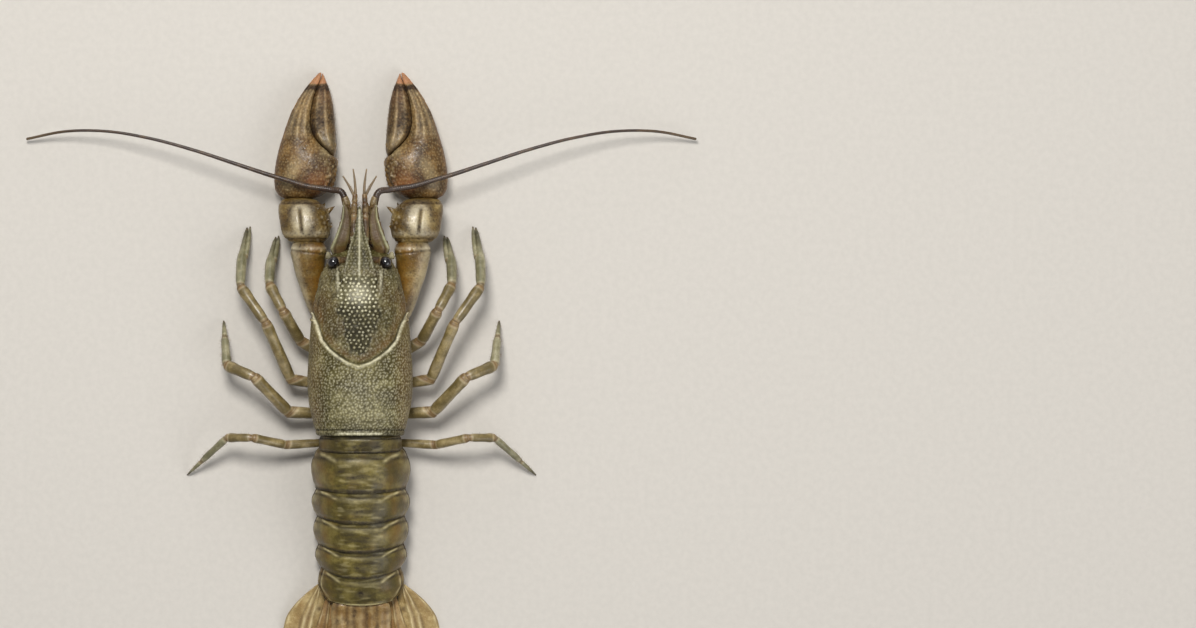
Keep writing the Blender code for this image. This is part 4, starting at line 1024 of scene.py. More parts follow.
def bladeRings(stations, data):
    suture, bow, roundFrom, power = data["suture"], data["bow"], data["roundFrom"], data["power"]
    fine = smoothRows(stations, data["rows"] * 3)
    # rows lie closer together towards the rear edge
    places = np.sin(np.linspace(0, math.pi / 2, data["rows"]))
    fine = fine[np.unique((places * (len(fine) - 1)).round().astype(int))]
    t = np.linspace(0, 1, data["columns"])
    edge = np.sqrt(np.clip(1 - np.abs(2 * t - 1) ** 6, 0, 1))
    rings = []
    for y, xIn, xOut, z, thick in fine:
        x = xIn + (xOut - xIn) * t
        up = thick / 2 * edge
        relief = np.zeros_like(t)
        for place, height, width in data["ribs"]:
            relief += height * hump(t, place, width)
        if suture:
            relief -= 0.2 * np.exp(-((y - suture - bow * (t - 0.5) ** 2) / 0.2) ** 2)
            relief += 0.1 * np.exp(-((y - suture + 0.35 - bow * (t - 0.5) ** 2) / 0.2) ** 2)
        if y > roundFrom:
            # the end is drawn in to a round edge
            near = min(1.0, (y - roundFrom) / (stations[-1][0] - roundFrom))
            draw = max(0.03, (1 - near ** power) ** (1 / power))
            x = (xIn + xOut) / 2 + (x - (xIn + xOut) / 2) * draw
            up = up * (0.45 + 0.55 * draw)
        fade = min(1.0, (y - stations[0][0]) / 2.0, 2 * (stations[-1][0] - y))
        upper = np.stack([x, np.full_like(x, y), z + up + relief * fade * (edge > 0.3)], axis=1)
        lower = np.stack([x, np.full_like(x, y), np.maximum(z - up, 0.02)], axis=1)
        rings.append(np.concatenate([upper, lower[::-1][1:-1]]))
    return rings


def makeBlade(name, kind, node):
    stations, data = fan[kind], blades[kind]
    suture, tones = data["suture"], data["tones"]
    piece = gridPiece(name, bladeRings(stations, data))
    points, x, y, _, up = measured(piece)
    inner, outer = tableAt(stations, y, 1), tableAt(stations, y, 2)
    t = (x - inner) / np.maximum(outer - inner, 0.3)
    top = up > 0.1
    stripes = 0.5 + 0.5 * np.cos(t * data["stripes"] * 2 * np.pi)
    rear = smoothStep(suture or 50, (suture or 50) + 2.5, y)
    soft = cloud(points, 1.8, data["seed"])
    puff(piece, 0.035 * rear * (stripes - 0.5) * top + 0.03 * soft * top)
    ribs = sum(hump(t, place, width * 1.1) for place, _, width in data["ribs"])
    beside = sum(hump(t, place + width * 2.2, width) for place, _, width in data["ribs"])
    cross = hump(y - data["bow"] * (t - 0.5) ** 2, suture, 0.22) if suture else 0 * y
    broken = patches(points * np.array((1, 0.4, 1)), 0.8, 5, -0.5, 0.4)
    pale = tones["rib"] * ribs * broken + 0.22 * rear * stripes * broken + 0.2 * hump(t, 0.02, 0.05)
    pale += 0.2 * hump(t, 0.98, 0.05) + 0.35 * (1 - top) + tones["glow"] * top
    dark = 0.6 * cross + 0.3 * rear * (1 - stripes) * smoothStep(0.0, 0.5, soft + 0.3)
    dark += tones["mottled"] * patches(points, 1.3, 23, -0.1) * top + 0.5 * beside + tones["shade"] * top
    dark += 0.75 * hump(y, 41.4, 0.5) * hump(x, data["spotX"], 0.5)
    warm = 0.25 * smoothStep(0.1, 0.6, soft) + tones["warm"] * smoothStep(54, 44, y) * top
    paintAll(piece, pale=pale, dark=dark, warm=warm)
    return finishPiece(piece, tailLook, "tail_fan", node, bend=45)


makeBlade("telsonBlade", "telson", "telson")
for kind in ("inner", "outer"):
    mirrored(makeBlade("fanBlade_%s_left" % kind, kind, "uropod_%s_left" % kind))
print("tail fan ready")


# ------- great claws

claw = {
    # y, inner x, outer x, underside, top
    "palm": [(-32.75, 8.6, 13.8, 2.2, 5.6), (-33.3, 7.2, 14.8, 1.1, 6.5), (-34.3, 5.9, 15.4, 0.4, 7.3),
             (-35.8, 4.9, 15.6, 0.02, 7.8), (-37.8, 4.4, 15.5, 0.0, 8.0), (-39.7, 4.3, 15.2, 0.0, 7.95),
             (-41.2, 5.6, 14.85, 0.0, 7.7), (-42.6, 7.0, 14.5, 0.0, 7.3), (-43.9, 8.1, 14.1, 0.02, 6.85),
             (-45.6, 8.7, 13.55, 0.05, 6.25), (-48.4, 8.75, 12.5, 0.15, 5.2), (-50.6, 8.4, 11.35, 0.3, 4.25),
             (-52.6, 7.8, 10.0, 0.5, 3.2), (-54.2, 7.25, 8.7, 0.75, 2.35), (-55.35, 7.15, 7.6, 1.1, 1.65)],
    "finger": [(-40.4, 4.75, 5.4, 2.0, 5.2), (-41.3, 4.45, 6.3, 0.8, 6.5), (-42.8, 4.45, 7.75, 0.35, 6.8),
               (-44.2, 4.55, 8.85, 0.25, 6.55), (-46.0, 4.7, 9.4, 0.25, 6.0), (-48.4, 4.95, 9.3, 0.25, 5.05),
               (-50.6, 5.3, 8.85, 0.35, 4.15), (-52.6, 5.85, 8.15, 0.55, 3.15),
               (-54.1, 6.45, 7.45, 0.8, 2.35), (-55.15, 6.85, 7.1, 1.1, 1.6)],
    "wrist": [(-24.6, 7.4, 11.6, 4.9, 8.0), (-24.9, 6.4, 12.7, 4.0, 9.1), (-25.4, 5.85, 13.5, 3.4, 9.7),
              (-26.6, 5.45, 14.2, 2.9, 10.2), (-28.6, 5.4, 14.6, 2.6, 10.3), (-30.5, 5.9, 14.85, 2.5, 9.75),
              (-31.8, 7.0, 14.7, 2.6, 8.7), (-32.5, 8.2, 14.1, 3.0, 7.4)],
    # x, y, z, half width, half height
    "arm": [(6.3, -10.25, 4.4, 1.6, 1.4), (7.3, -12.6, 4.7, 1.95, 1.75), (8.6, -16.8, 5.4, 2.3, 2.25),
            (9.3, -21.4, 6.2, 3.0, 2.85), (9.35, -23.6, 6.5, 3.25, 2.95), (9.35, -24.5, 6.5, 2.9, 2.6)],
    "root": [(2.2, -9.5, 4.1, 1.35, 1.2), (3.4, -9.0, 4.15, 1.6, 1.35), (4.4, -8.95, 4.2, 1.5, 1.3),
             (5.4, -9.5, 4.3, 1.75, 1.5), (6.3, -10.4, 4.4, 1.7, 1.45)],
    "slit": 0.1, "voxel": 0.15,
    # spines: root, direction, length, radius
    "wristSpines": [((6.5, -29.9, 6.8), (-1, -0.75, 0.1), 2.4, 0.72),
                    ((6.1, -27.2, 6.9), (-1, -0.5, 0.2), 1.3, 0.5),
                    ((6.2, -28.5, 8.3), (-0.8, -0.6, 0.5), 1.0, 0.4),
                    ((7.2, -31.0, 4.2), (-0.7, -1, -0.3), 1.5, 0.5),
                    ((7.6, -30.8, 8.6), (-0.5, -0.9, 0.5), 0.9, 0.4),
                    ((5.9, -28.0, 5.4), (-1, -0.4, -0.1), 0.9, 0.4)],
    # x, y, z, lean in x and z, length
    "armSpines": [(7.2, -22.4, 8.3, -0.4, 0.6, 1.5), (9.4, -22.6, 9.0, 0.1, 0.6, 1.5),
                  (8.4, -20.6, 8.3, -0.2, 0.7, 0.9), (6.6, -19.5, 5.4, -0.9, -0.1, 1.3),
                  (6.7, -22.2, 5.2, -0.6, -0.4, 1.4), (6.6, -17.4, 4.6, -0.8, -0.5, 0.9),
                  (6.0, -15.3, 4.2, -0.8, -0.5, 0.7), (8.2, -21.4, 3.7, -0.1, -0.9, 1.2),
                  (7.6, -18.8, 3.5, -0.2, -0.9, 0.9), (7.2, -16.6, 3.3, -0.2, -0.9, 0.7),
                  (10.4, -22.0, 4.0, 0.3, -0.8, 1.1)],
}


def blockRings(stations, count, rows, power=2.35):
    c, s = ellipsePower((np.arange(count) + 0.5) * 2 * np.pi / count, power)
    rings = []
    for y, xIn, xOut, low, top in smoothRows(stations, rows):
        x = (xIn + xOut) / 2 + (xOut - xIn) / 2 * c
        z = (low + top) / 2 + (top - low) / 2 * s
        rings.append(np.stack([x, np.full_like(x, y), np.maximum(z, floorGap)], axis=1))
    ends = []
    for ring, way in ((rings[0], 1), (rings[-1], -1)):
        middle = ring.mean(axis=0)
        ends.append([middle + (ring - middle) * share + np.array((0, way * push, 0))
                     for share, push in ((0.85, 0.12), (0.55, 0.22), (0.2, 0.27))])
    return ends[0][::-1] + rings + ends[1]


def shareAcross(points, stations):
    # 0 at the inner edge and 1 at the outer edge of a limb that runs forward
    inner, outer = (tableAt(stations, points[:, 1], column) for column in (1, 2))
    return (points[:, 0] - inner) / np.maximum(outer - inner, 0.2)


def clawForms(data):
    finger = gridPiece("fingerForm", blockRings(data["finger"], 56, 80))
    slit = copyOf(finger, "slitForm")
    puff(slit, np.full(len(slit.data.vertices), data["slit"]))
    parts = [gridPiece("palmForm", blockRings(data["palm"], 72, 110))]
    for i in range(8):
        # two rows of knobs along the palm's inner edge
        y = -34.5 - i * 0.8
        inner = 4.75 + 0.05 * (i - 4) ** 2
        parts.append(ballPiece("knob", (inner, y, 4.9 + 0.07 * i), (0.5, 0.42, 0.45)))
        if i < 7:
            parts.append(ballPiece("knob", (inner + 0.7, y - 0.4, 6.45 + 0.06 * i), (0.4, 0.36, 0.36)))
    hand = joinPieces("handForm", parts)
    hand = cut(clay("clawHand_left", [hand], data["voxel"], 2), slit)
    hand = clay("clawHand_left", [hand], data["voxel"], 2)
    lumps = [ballPiece("lump", (4.75 + 0.12 * i, -42.0 - i * 0.95, 5.3 - 0.2 * i), (0.34, 0.36, 0.34))
             for i in range(6)]
    return hand, clay("clawFinger_left", [finger] + lumps, data["voxel"], 2)


def dressClaw(piece, stations, isHand):
    points, x, y, _, up = measured(piece)
    t = shareAcross(points, stations)
    upper = smoothStep(0.1, 0.5, up)
    pits = spots(points, 0.85, 3)
    scales = spots(points, 1.25, 6, 0.36)
    soft = cloud(points, 2.4, 7)
    low = cloud(points, 6.0, 8)
    far = smoothStep(-43.0, -45.0, y)
    edge = hinge = field = 0 * t
    if isHand:
        ridges = far * upper * (hump(t, 0.3, 0.055) + hump(t, 0.56, 0.055) + 0.7 * hump(t, 0.8, 0.05))
        knobby = smoothStep(0.42, 0.1, t) * smoothStep(-42.5, -40.5, y) * (up > -0.2)
        edge = hump(t, 0.975, 0.03) * hump(up, 0, 0.5)
        hinge = np.exp(-((x - 6.3) ** 2 + (y + 41.0) ** 2) / 0.8) * upper
        # inner: painted shade along the slit where the fixed finger meets the moving finger
        inner = smoothStep(0.12, 0.02, t) * smoothStep(-43.8, -45.2, y) * upper
        field = np.exp(-((x - 8.2) / 2.2) ** 2 - ((y + 35.4) / 1.7) ** 2) * upper
    else:
        ridges = upper * (hump(t, 0.34, 0.08) + hump(t, 0.7, 0.07)) * smoothStep(-41.6, -43.5, y)
        knobby = smoothStep(0.3, 0.05, t) * smoothStep(-47.5, -44.0, y)
        # inner: painted shade along the moving finger's edge at the slit
        inner = smoothStep(0.9, 1.0, t) * smoothStep(-43, -44.5, y) * upper
    # the tip is orange behind a dark band
    wavyY = y + 0.35 * cloud(points, 0.7, 15)
    tip, band = smoothStep(-53.3, -53.7, wavyY), hump(wavyY, -52.75, 0.55)
    relief = 0.15 * ridges * (1 - tip) - 0.085 * pits * (0.4 + 0.6 * upper) * (1 - tip)
    relief = relief + 0.17 * knobby * scales + 0.14 * edge + 0.2 * hinge + 0.06 * low + 0.03 * soft
    puff(piece, relief + 0.05 * scales * upper * (1 - far) * smoothStep(0.7, 0.4, t))

    bottom = smoothStep(-0.15, -0.6, up)
    top = upper * (1 - tip)
    dotted = smoothStep(0.36, 0.14, lattice(x * 1.3, y, 0.72, 0.7, 9.0)) * top * (1 - band)
    warm = 0.72 * tip + 0.32 * field * (0.7 + soft) + 0.16 * smoothStep(0.1, 0.5, low) * upper
    warm += 0.12 * ridges + 0.15 * edge
    dark = 0.95 * band * (0.55 + 0.45 * (up > -0.3)) * patches(points, 0.8, 16, -0.7, 0.0)
    # the inner term is the painted shade in the slit between the fingers
    dark += (0.02 * far if isHand else 0.4) * top * (1 - 0.6 * ridges) + 0.5 * inner + 0.35 * pits * upper
    dark += 0.3 * smoothStep(0.15, 0.5, soft) * (1 - bottom)
    dark += 0.3 * far * upper * (hump(t, 0.43, 0.04) + hump(t, 0.69, 0.04)) * smoothStep(-0.6, 0.2, soft)
    dark += 0.25 * smoothStep(0.2, 0.5, grains(points, 0.6, 12)) * top
    pale = 0.6 * bottom * (1 - tip) + 0.5 * knobby * scales
    pale += ridges * (1 - band) * (1 - tip) * (0.3 + 0.25 * cloud(points, 0.9, 18))
    pale += 0.16 * tip + 0.2 * dotted
    pale += 0.35 * hinge + 0.3 * smoothStep(0.25, 0.6, -low) * top + 0.12 * far * top * (1 - band) * isHand
    paintAll(piece, warm=warm, dark=dark, pale=pale)


def makeWrist(data):
    spines = [spinePiece("wristSpine", *spine) for spine in data["wristSpines"]]
    form = gridPiece("wristForm", blockRings(data["wrist"], 56, 60, 2.2))
    wrist = clay("clawWrist_left", [form] + spines, data["voxel"], 3)
    points, x, y, _, up = measured(wrist)
    upper = smoothStep(0.1, 0.5, up)
    furrow = hump(x + 0.1 * (y + 29), 10.75, 0.3) * smoothStep(-25.6, -27, y)
    furrow = furrow * smoothStep(-31.6, -30.4, y) * upper
    scales = spots(points, 1.1, 6, 0.4) * smoothStep(9.5, 7.5, x)
    soft = cloud(points, 2.4, 17)
    rims = hump(y, -25.3, 0.2) + hump(y, -31.9, 0.22)
    relief = -0.32 * furrow - 0.06 * spots(points, 0.8, 3) + 0.12 * scales * (up > -0.3)
    puff(wrist, relief - 0.14 * rims + 0.05 * soft)
    # a pale patch on top of the wrist, partly the shell's own pale colour and partly a painted highlight
    paleSpotAndHighlight = np.exp(-(np.abs(x - 10.5) / 1.75) ** 3 - (np.abs(y + 29.1) / 2.6) ** 3)
    paleSpotAndHighlight = paleSpotAndHighlight * upper * (0.8 + 0.5 * soft) * (1 - 0.8 * furrow)
    around = hump(np.hypot((x - 10.5) / 2.4, (y + 29.0) / 3.4), 1.0, 0.16)
    specks = smoothStep(0.32, 0.12, lattice(x, y, 0.62, 0.9, 7.0)) * upper
    dark = 0.7 * furrow + 0.35 * upper * (1 - paleSpotAndHighlight) * smoothStep(-0.6, 0.3, soft) + 0.5 * rims
    dark += 0.45 * specks * (1 - paleSpotAndHighlight) + 0.45 * around * upper * smoothStep(-0.5, 0.2, soft)
    pale = paleSpotAndHighlight + 0.5 * smoothStep(-0.2, -0.7, up) + 0.35 * scales + 0.25 * hump(y, -26.3, 0.5) * upper
    warm = 0.3 * smoothStep(0.0, 0.5, soft) + 0.3 * rims + 0.5 * smoothStep(6.0, 4.6, x)
    paintAll(wrist, warm=warm, dark=dark, pale=pale)
    return finishPiece(wrist, armLook, "claw", "cheliped_wrist_left", bend=35)


def makeArm(data):
    forms = [limbPiece("armForm", data["arm"], 40, rings=60, roundEnds=(0.2, 0.35))]
    for x, y, z, dx, dz, length in data["armSpines"]:
        forms.append(spinePiece("armSpine", (x, y, z), (dx, -1, dz), length, 0.4))
    arm = clay("clawArm_left", forms, data["voxel"], 3)
    points, x, y, z, up = measured(arm)
    soft = cloud(points, 2.0, 27)
    inward = smoothStep(0.5, -0.7, normalsOf(arm)[:, 0])
    ringLine = hump(y + 0.12 * (x - 9), -22.9, 0.18)
    puff(arm, -0.05 * spots(points, 0.8, 3) - 0.13 * ringLine * (up > -0.2) + 0.04 * soft)
    ridge = smoothStep(0.5, 0.9, up)
    outward = smoothStep(0.2, 0.7, normalsOf(arm)[:, 0])
    warm = 0.7 * inward * smoothStep(-0.7, 0.3, soft) + 0.25 * ridge + 0.2 * smoothStep(0.1, 0.5, soft)
    dark = 0.5 * ringLine + 0.4 * smoothStep(0.0, 0.5, -soft) * ridge + 0.3 * hump(y, -24.5, 0.4)
    dark += 0.4 * smoothStep(0.3, 0.12, lattice(x, y, 0.7, 0.9, 8.0)) * ridge
    pale = 0.5 * smoothStep(-0.1, -0.7, up) + 0.3 * hump(y, -23.7, 0.3) + 0.35 * outward * (up > 0)
    paintAll(arm, warm=warm, dark=dark, pale=pale)
    return finishPiece(arm, armLook, "claw", "cheliped_arm_left", bend=35)


def makeRoot(data):
    form = limbPiece("rootForm", data["root"], 32, rings=40, roundEnds=(0.3, 0.3))
    root = clay("clawRoot_left", [form], 0.16, 3)
    points, x, _, z, _ = measured(root)
    seam = hump(x, 4.4, 0.2) + hump(x, 5.7, 0.12)
    puff(root, -0.18 * seam + 0.06 * cloud(points, 1.4, 31))
    paintAll(root, warm=0.4 * patches(points, 1.8, 33) + 0.3 * seam, dark=0.5 * seam,
             pale=0.4 * smoothStep(4.6, 3.4, z))
    return finishPiece(root, legLook, "limb", "cheliped_root_left", bend=35)


def makeClaws(data):
    hand, finger = clawForms(data)
    dressClaw(hand, data["palm"], True)
    dressClaw(finger, data["finger"], False)
    left = [finishPiece(hand, clawLook, "claw", "cheliped_hand_left", bend=35),
            finishPiece(finger, clawLook, "claw", "cheliped_finger_left", bend=35),
            makeWrist(data), makeArm(data), makeRoot(data)]
    for piece in left:
        mirrored(piece)


makeClaws(claw)
print("claws ready")


# ------- walking legs

legs = {
    # root, end of the ischium, knee, wrist and tip, then the widest half width
    "2": ((6.2, -4.2, 4.3), (10.9, -7.0, 5.3), (13.9, -12.4, 8.6), (16.4, -17.1, 6.9), (15.2, -25.9, 0.3), 1.0),
    "3": ((6.6, 0.9, 4.3), (12.6, -0.1, 5.6), (17.0, -10.3, 9.2), (21.6, -16.8, 7.4), (20.35, -27.6, 0.3), 1.0),
    "4": ((6.6, 6.1, 4.3), (13.0, 5.8, 5.7), (19.0, -0.5, 9.4), (24.1, -2.6, 7.0), (24.9, -10.6, 0.3), 1.05),
    "5": ((6.0, 11.3, 4.1), (13.5, 11.7, 5.6), (19.4, 10.4, 8.4), (24.1, 10.4, 6.6), (31.5, 17.2, 0.24), 0.8),
}


# share of the length, width and height against the widest half width
legShapes = {
    "hip": [(0.03, 0.9, 0.92), (0.5, 0.98, 1.02), (0.85, 1.04, 1.08), (1.04, 0.98, 1.0)],
    "thigh": [(-0.03, 0.85, 0.9), (0.08, 1.0, 1.12), (0.4, 1.02, 1.24), (0.75, 1.0, 1.18), (0.93, 1.04, 1.12),
              (1.0, 0.9, 0.98)],
    "shin": [(0.0, 0.72, 0.78), (0.14, 0.88, 0.94), (0.6, 0.94, 1.04), (0.88, 1.02, 1.06), (0.98, 0.88, 0.94)],
    # hand with its fixed finger, and the finger that closes on it
    "pincer": [(0.0, 0.68, 0.76), (0.06, 0.82, 0.9), (0.28, 0.94, 1.12), (0.5, 0.9, 1.08), (0.62, 0.62, 0.78),
               (0.8, 0.44, 0.56), (0.93, 0.32, 0.36), (1.0, 0.16, 0.2)],
    "finger": [(0.0, 0.5, 0.7), (0.2, 0.5, 0.72), (0.55, 0.42, 0.55), (0.85, 0.3, 0.34), (1.0, 0.14, 0.18)],
    # plain hand, and the nail at its end
    "hand": [(0.0, 0.62, 0.7), (0.1, 0.76, 0.84), (0.5, 0.72, 0.82), (0.9, 0.66, 0.72), (1.0, 0.54, 0.6)],
    "nail": [(-0.04, 0.4, 0.46), (0.1, 0.46, 0.52), (0.5, 0.36, 0.42), (0.8, 0.24, 0.28), (1.0, 0.12, 0.14)],
}


def legPiece(name, kind, start, end, half, bow, sides, rings, roundEnds):
    start, end, bow = np.array(start), np.array(end), np.array(bow)
    rows = []
    for share, wide, high in legShapes[kind]:
        place = start + (end - start) * share + bow * 4 * share * (1 - share)
        rows.append((*place, wide * half, high * half))
    return limbPiece(name, rows, sides, rings=rings, roundEnds=roundEnds)


def paintLeg(piece, start, end, seed, darkTip=0.0):
    points, _, _, _, up = measured(piece)
    start, end = np.array(start), np.array(end)
    way = end - start
    share = ((points - start) @ way) / (way @ way)
    soft = cloud(points - np.outer(share, way) * 0.75, 0.9, seed)
    puff(piece, 0.03 * soft - 0.03 * spots(points, 0.7, seed))
    near = np.minimum(np.abs(share), np.abs(1 - share)) * np.linalg.norm(way)
    warm = 0.5 * smoothStep(0.7, 0.2, near) * (0.8 + 0.5 * soft) + 0.25 * smoothStep(0.3, -0.3, up)
    pale = 0.3 * hump(near, 0.55, 0.16) + 0.35 * smoothStep(0.1, -0.6, up)
    pale += 0.15 * smoothStep(0.1, 0.6, -soft)
    dark = 0.6 * hump(near, 0.14, 0.1) + 0.28 * smoothStep(-0.4, 0.5, soft)
    dark += darkTip * smoothStep(0.45, 1.0, share)
    paintAll(piece, warm=warm, pale=pale, dark=dark)


def makeLeg(number):
    root, ischium, knee, wrist, tip, half = legs[number]
    seed = int(number)
    tip, wristPoint = np.array(tip), np.array(wrist)
    hip = legPiece("hip", "hip", root, ischium, half, (0, 0, 0), 24, 26, (0.3, 0.5))
    thigh = legPiece("thigh", "thigh", ischium, knee, half, (0, 0, 0.25), 24, 44, (0.4, 0.6))
    thigh = clay("legThigh_%s_left" % number, [hip, thigh], 0.13, 2)
    shin = legPiece("legWrist_%s_left" % number, "shin", knee, wrist, half, (0, 0, 0.22), 24, 36, (0.8, 0.6))
    paintLeg(thigh, ischium, knee, 40 + seed)
    paintLeg(shin, knee, wrist, 50 + seed)
    handName = "legHand_%s_left" % number
    if number in "23":
        handEnd = tip + np.array((0.3, 0.2, 0))
        hand = legPiece(handName, "pincer", wrist, handEnd, half, (0.32, 0, 0.1), 24, 64, (0.8, 0.5))
        base = wristPoint + (tip - wristPoint) * 0.47 + np.array((-0.12, 0, 0.05))
        end = tip + np.array((-0.22, 0, 0))
        last = legPiece("legFinger_%s_left" % number, "finger", base, end, half, (-0.1, 0, 0.05), 18, 40,
                        (0.5, 0.5))
    else:
        base = handEnd = wristPoint + (tip - wristPoint) * 0.62 + np.array((0, 0, 0.25))
        end = tip
        hand = legPiece(handName, "hand", wrist, handEnd, half, (0, 0, 0.15), 24, 40, (0.8, 0.6))
        last = legPiece("legNail_%s_left" % number, "nail", base, end, half, (0, 0, 0.3), 18, 36, (0.6, 0.5))
    paintLeg(hand, wrist, handEnd, 60 + seed, {"4": 0.0, "5": 0.2}.get(number, 0.7))
    paintLeg(last, base, end, 70 + seed, 0.7)
    made = [finishPiece(last, handLook, "limb"),
            finishPiece(hand, handLook, "limb", "leg_hand_%s_left" % number),
            finishPiece(shin, legLook, "limb", "leg_wrist_%s_left" % number),
            finishPiece(thigh, legLook, "limb", "leg_thigh_%s_left" % number)]
    for piece in made:
        mirrored(piece)


for number in legs:
    makeLeg(number)
print("legs ready")


# ------- breast plate and the first joints of the legs

breast = {
    # y, half width, underside
    "plate": [(-8.7, 0.9, 3.6), (-6.5, 1.9, 3.0), (-3.0, 2.7, 2.8), (2.0, 3.1, 2.8), (7.0, 3.2, 2.8),
              (11.0, 2.9, 3.1), (12.6, 2.0, 3.6)],
    "top": 5.3, "wide": 4.3,
}


def makeBreast(data):
    wide, top = data["wide"], data["top"]
    rows = []
    for y, half, low in smoothRows(data["plate"], 60):
        half = half + 0.28 * math.cos(y * 1.35)
        ring = [(x, low - 0.1 + 0.175 * (1 - abs(x) / half)) for x in np.linspace(-half, half, 13)]
        ring += [(wide, 4.2), (wide, top)]
        ring += [(x, top + 0.1) for x in (3, 1.5, 0, -1.5, -3)]
        ring += [(-wide, top), (-wide, 4.2)]
        rows.append([(x, y, z) for x, z in ring])
    plate = clay("breastPlate", [gridPiece("breastForm", rows)], 0.16, 3)
    points, x, y, z, up = measured(plate)
    under = smoothStep(-0.2, -0.7, up)
    seams = np.sin((y + 1.6) * 1.26) ** 16 * under
    mid = hump(x, 0, 0.16) * under
    puff(plate, -0.3 * seams - 0.2 * mid + 0.16 * under * np.cos(x * 1.6) ** 2 * (1 - seams))
    soft = cloud(points, 1.8, 5)
    # the dark mask's last term makes the plate darker towards its top, which lies under the shell: painted
    # shade
    paintAll(plate, warm=0.35 * smoothStep(0.1, 0.5, soft),
             dark=0.55 * seams + 0.3 * mid + 0.5 * smoothStep(4.0, 5.0, z),
             pale=0.3 * under * smoothStep(0.0, 0.5, -soft))
    finishPiece(plate, bellyLook, "underside", "sternum", bend=35)


def makeLegRoot(number):
    root, ischium = (np.array(place) for place in legs[number][:2])
    inward = root - ischium
    inward /= np.linalg.norm(inward)
    near = root + inward * 0.05
    stations = [(1.6, root[1] * 0.94, 4.0, 2.05, 0.95), (*(near + inward * 2.1), 1.95, 1.15),
                (*(near + inward * 0.9), 1.5, 1.08), (*(near + inward * 0.5), 1.2, 1.0), (*near, 1.08, 0.98)]
    hip = limbPiece("legRoot_%s_left" % number, stations, 30, rings=44, roundEnds=(0.4, 0.4))
    points = pointsOf(hip)
    along = (root - points) @ -inward
    seam = hump(along, 2.2, 0.18) + hump(along, 0.75, 0.15)
    puff(hip, -0.16 * seam + 0.05 * cloud(points, 1.2, 9))
    paintAll(hip, warm=0.35 * patches(points, 1.6, 12) + 0.25 * seam, dark=0.4 * seam,
             pale=0.4 * smoothStep(4.4, 3.2, points[:, 2]))
    mirrored(finishPiece(hip, legLook, "underside", "sternum", bend=35))


makeBreast(breast)
for number in legs:
    makeLegRoot(number)
print("breast plate ready")


# ------- mouth and the plates round it

def makeMouth():
    throat = [(0, -23.3, 9.4, 1.7, 0.9), (0, -21.5, 8.8, 2.5, 1.5), (0, -17.5, 8.3, 3.1, 1.7),
              (0, -12.5, 8.2, 3.0, 1.8), (0, -9.3, 8.3, 2.6, 1.7)]
    parts = [limbPiece("mouthForm", throat, 30, rings=44, roundEnds=(0.3, 0.3)),
             spinePiece("point", (0, -22.9, 9.3), (0, -1, -0.05), 1.5, 0.8)]
    for side in (-1, 1):
        # jaw, then the nub with the pore of the green gland
        jaw = [(side * 3.1, -18.2, 7.6, 0.8, 0.8), (side * 1.8, -18.9, 7.0, 0.9, 0.85),
               (side * 0.35, -19.1, 6.9, 0.6, 0.8)]
        parts.append(limbPiece("jaw", jaw, 16, rings=16))
        parts.append(ballPiece("nub", (side * 2.7, -22.2, 8.2), (0.55, 0.6, 0.5), 16, 10))
    mouth = clay("mouthPlate", parts, 0.15, 3)
    points, _, y, z, _ = measured(mouth)
    soft = cloud(points, 1.4, 3)
    puff(mouth, 0.05 * soft - 0.15 * hump(y, -20.4, 0.16) * (z < 8))
    # the dark mask's last term makes the plate darker towards its top, which lies under the shell: painted
    # shade
    paintAll(mouth, warm=0.35 * smoothStep(0, 0.5, soft),
             dark=0.4 * hump(y, -20.4, 0.3) + 0.3 * smoothStep(8.6, 9.4, z), pale=0.5 * smoothStep(7.6, 6.9, z))
    finishPiece(mouth, bellyLook, "underside", "head", bend=35)


makeMouth()


# ------- eyes

eyes = {
    "centre": (4.6, -21.15, 14.9), "radius": 1.09,
    "stalk": [(1.9, -21.55, 14.05, 0.62, 0.62), (3.1, -21.45, 14.35, 0.7, 0.7),
              (3.9, -21.3, 14.65, 0.86, 0.84), (4.35, -21.2, 14.8, 0.98, 0.96)],
}


def makeEyes(data):
    stalk = limbPiece("eyeStalk_left", data["stalk"], 28, rings=26, roundEnds=(0.4, 0.2))
    points, x, _, _, _ = measured(stalk)
    puff(stalk, 0.02 * cloud(points, 0.7, 2) - 0.05 * hump(x, 3.3, 0.14))
    paintAll(stalk, warm=0.3 * patches(points, 1, 4), pale=0.35 * hump(x, 3.8, 0.25),
             dark=0.35 + 0.35 * smoothStep(4.0, 4.3, x) + 0.3 * hump(x, 3.3, 0.15))
    clearSelection()
    bpy.ops.mesh.primitive_uv_sphere_add(segments=64, ring_count=40, radius=data["radius"])
    cornea = newest("eyeCornea_left")
    points = pointsOf(cornea)
    # the cornea is a little longer outward than it is wide
    way = np.array((0.82, 0.08, 0.42))
    way /= np.linalg.norm(way)
    out = points @ way
    points += np.outer(np.maximum(out, 0) * 0.08, way) + np.array(data["centre"])
    movePoints(cornea, points)
    bare = np.zeros(len(points))
    paintAll(cornea, warm=bare, pale=bare, dark=bare)
    for piece in [finishPiece(cornea, corneaMaterial(), "eye", "eye_left", bend=180),
                  finishPiece(stalk, mouthLook, "eye", "eye_left")]:
        mirrored(piece)


def corneaMaterial():
    look, tree, shader = newLook("faceted black cornea")
    cells = cellNode(tree, placeNode(tree), 13000)
    # rim: a painted sheen, the black cornea turning brown towards its edges as seen from the camera
    rim = addNode(tree, "ShaderNodeLayerWeight")
    rim.inputs["Blend"].default_value = 0.35
    colour = mixColour(tree, rim.outputs["Facing"], linear(9, 7, 8), linear(40, 28, 26))
    feed(tree, shader, {"Base Color": colour, "Normal": bumpNode(tree, cells, 0.12, 0.00002), "Roughness": 0.13,
                        "Coat Weight": 0.7, "Coat Roughness": 0.05})
    return look


makeEyes(eyes)
print("eyes ready")


# ------- feelers

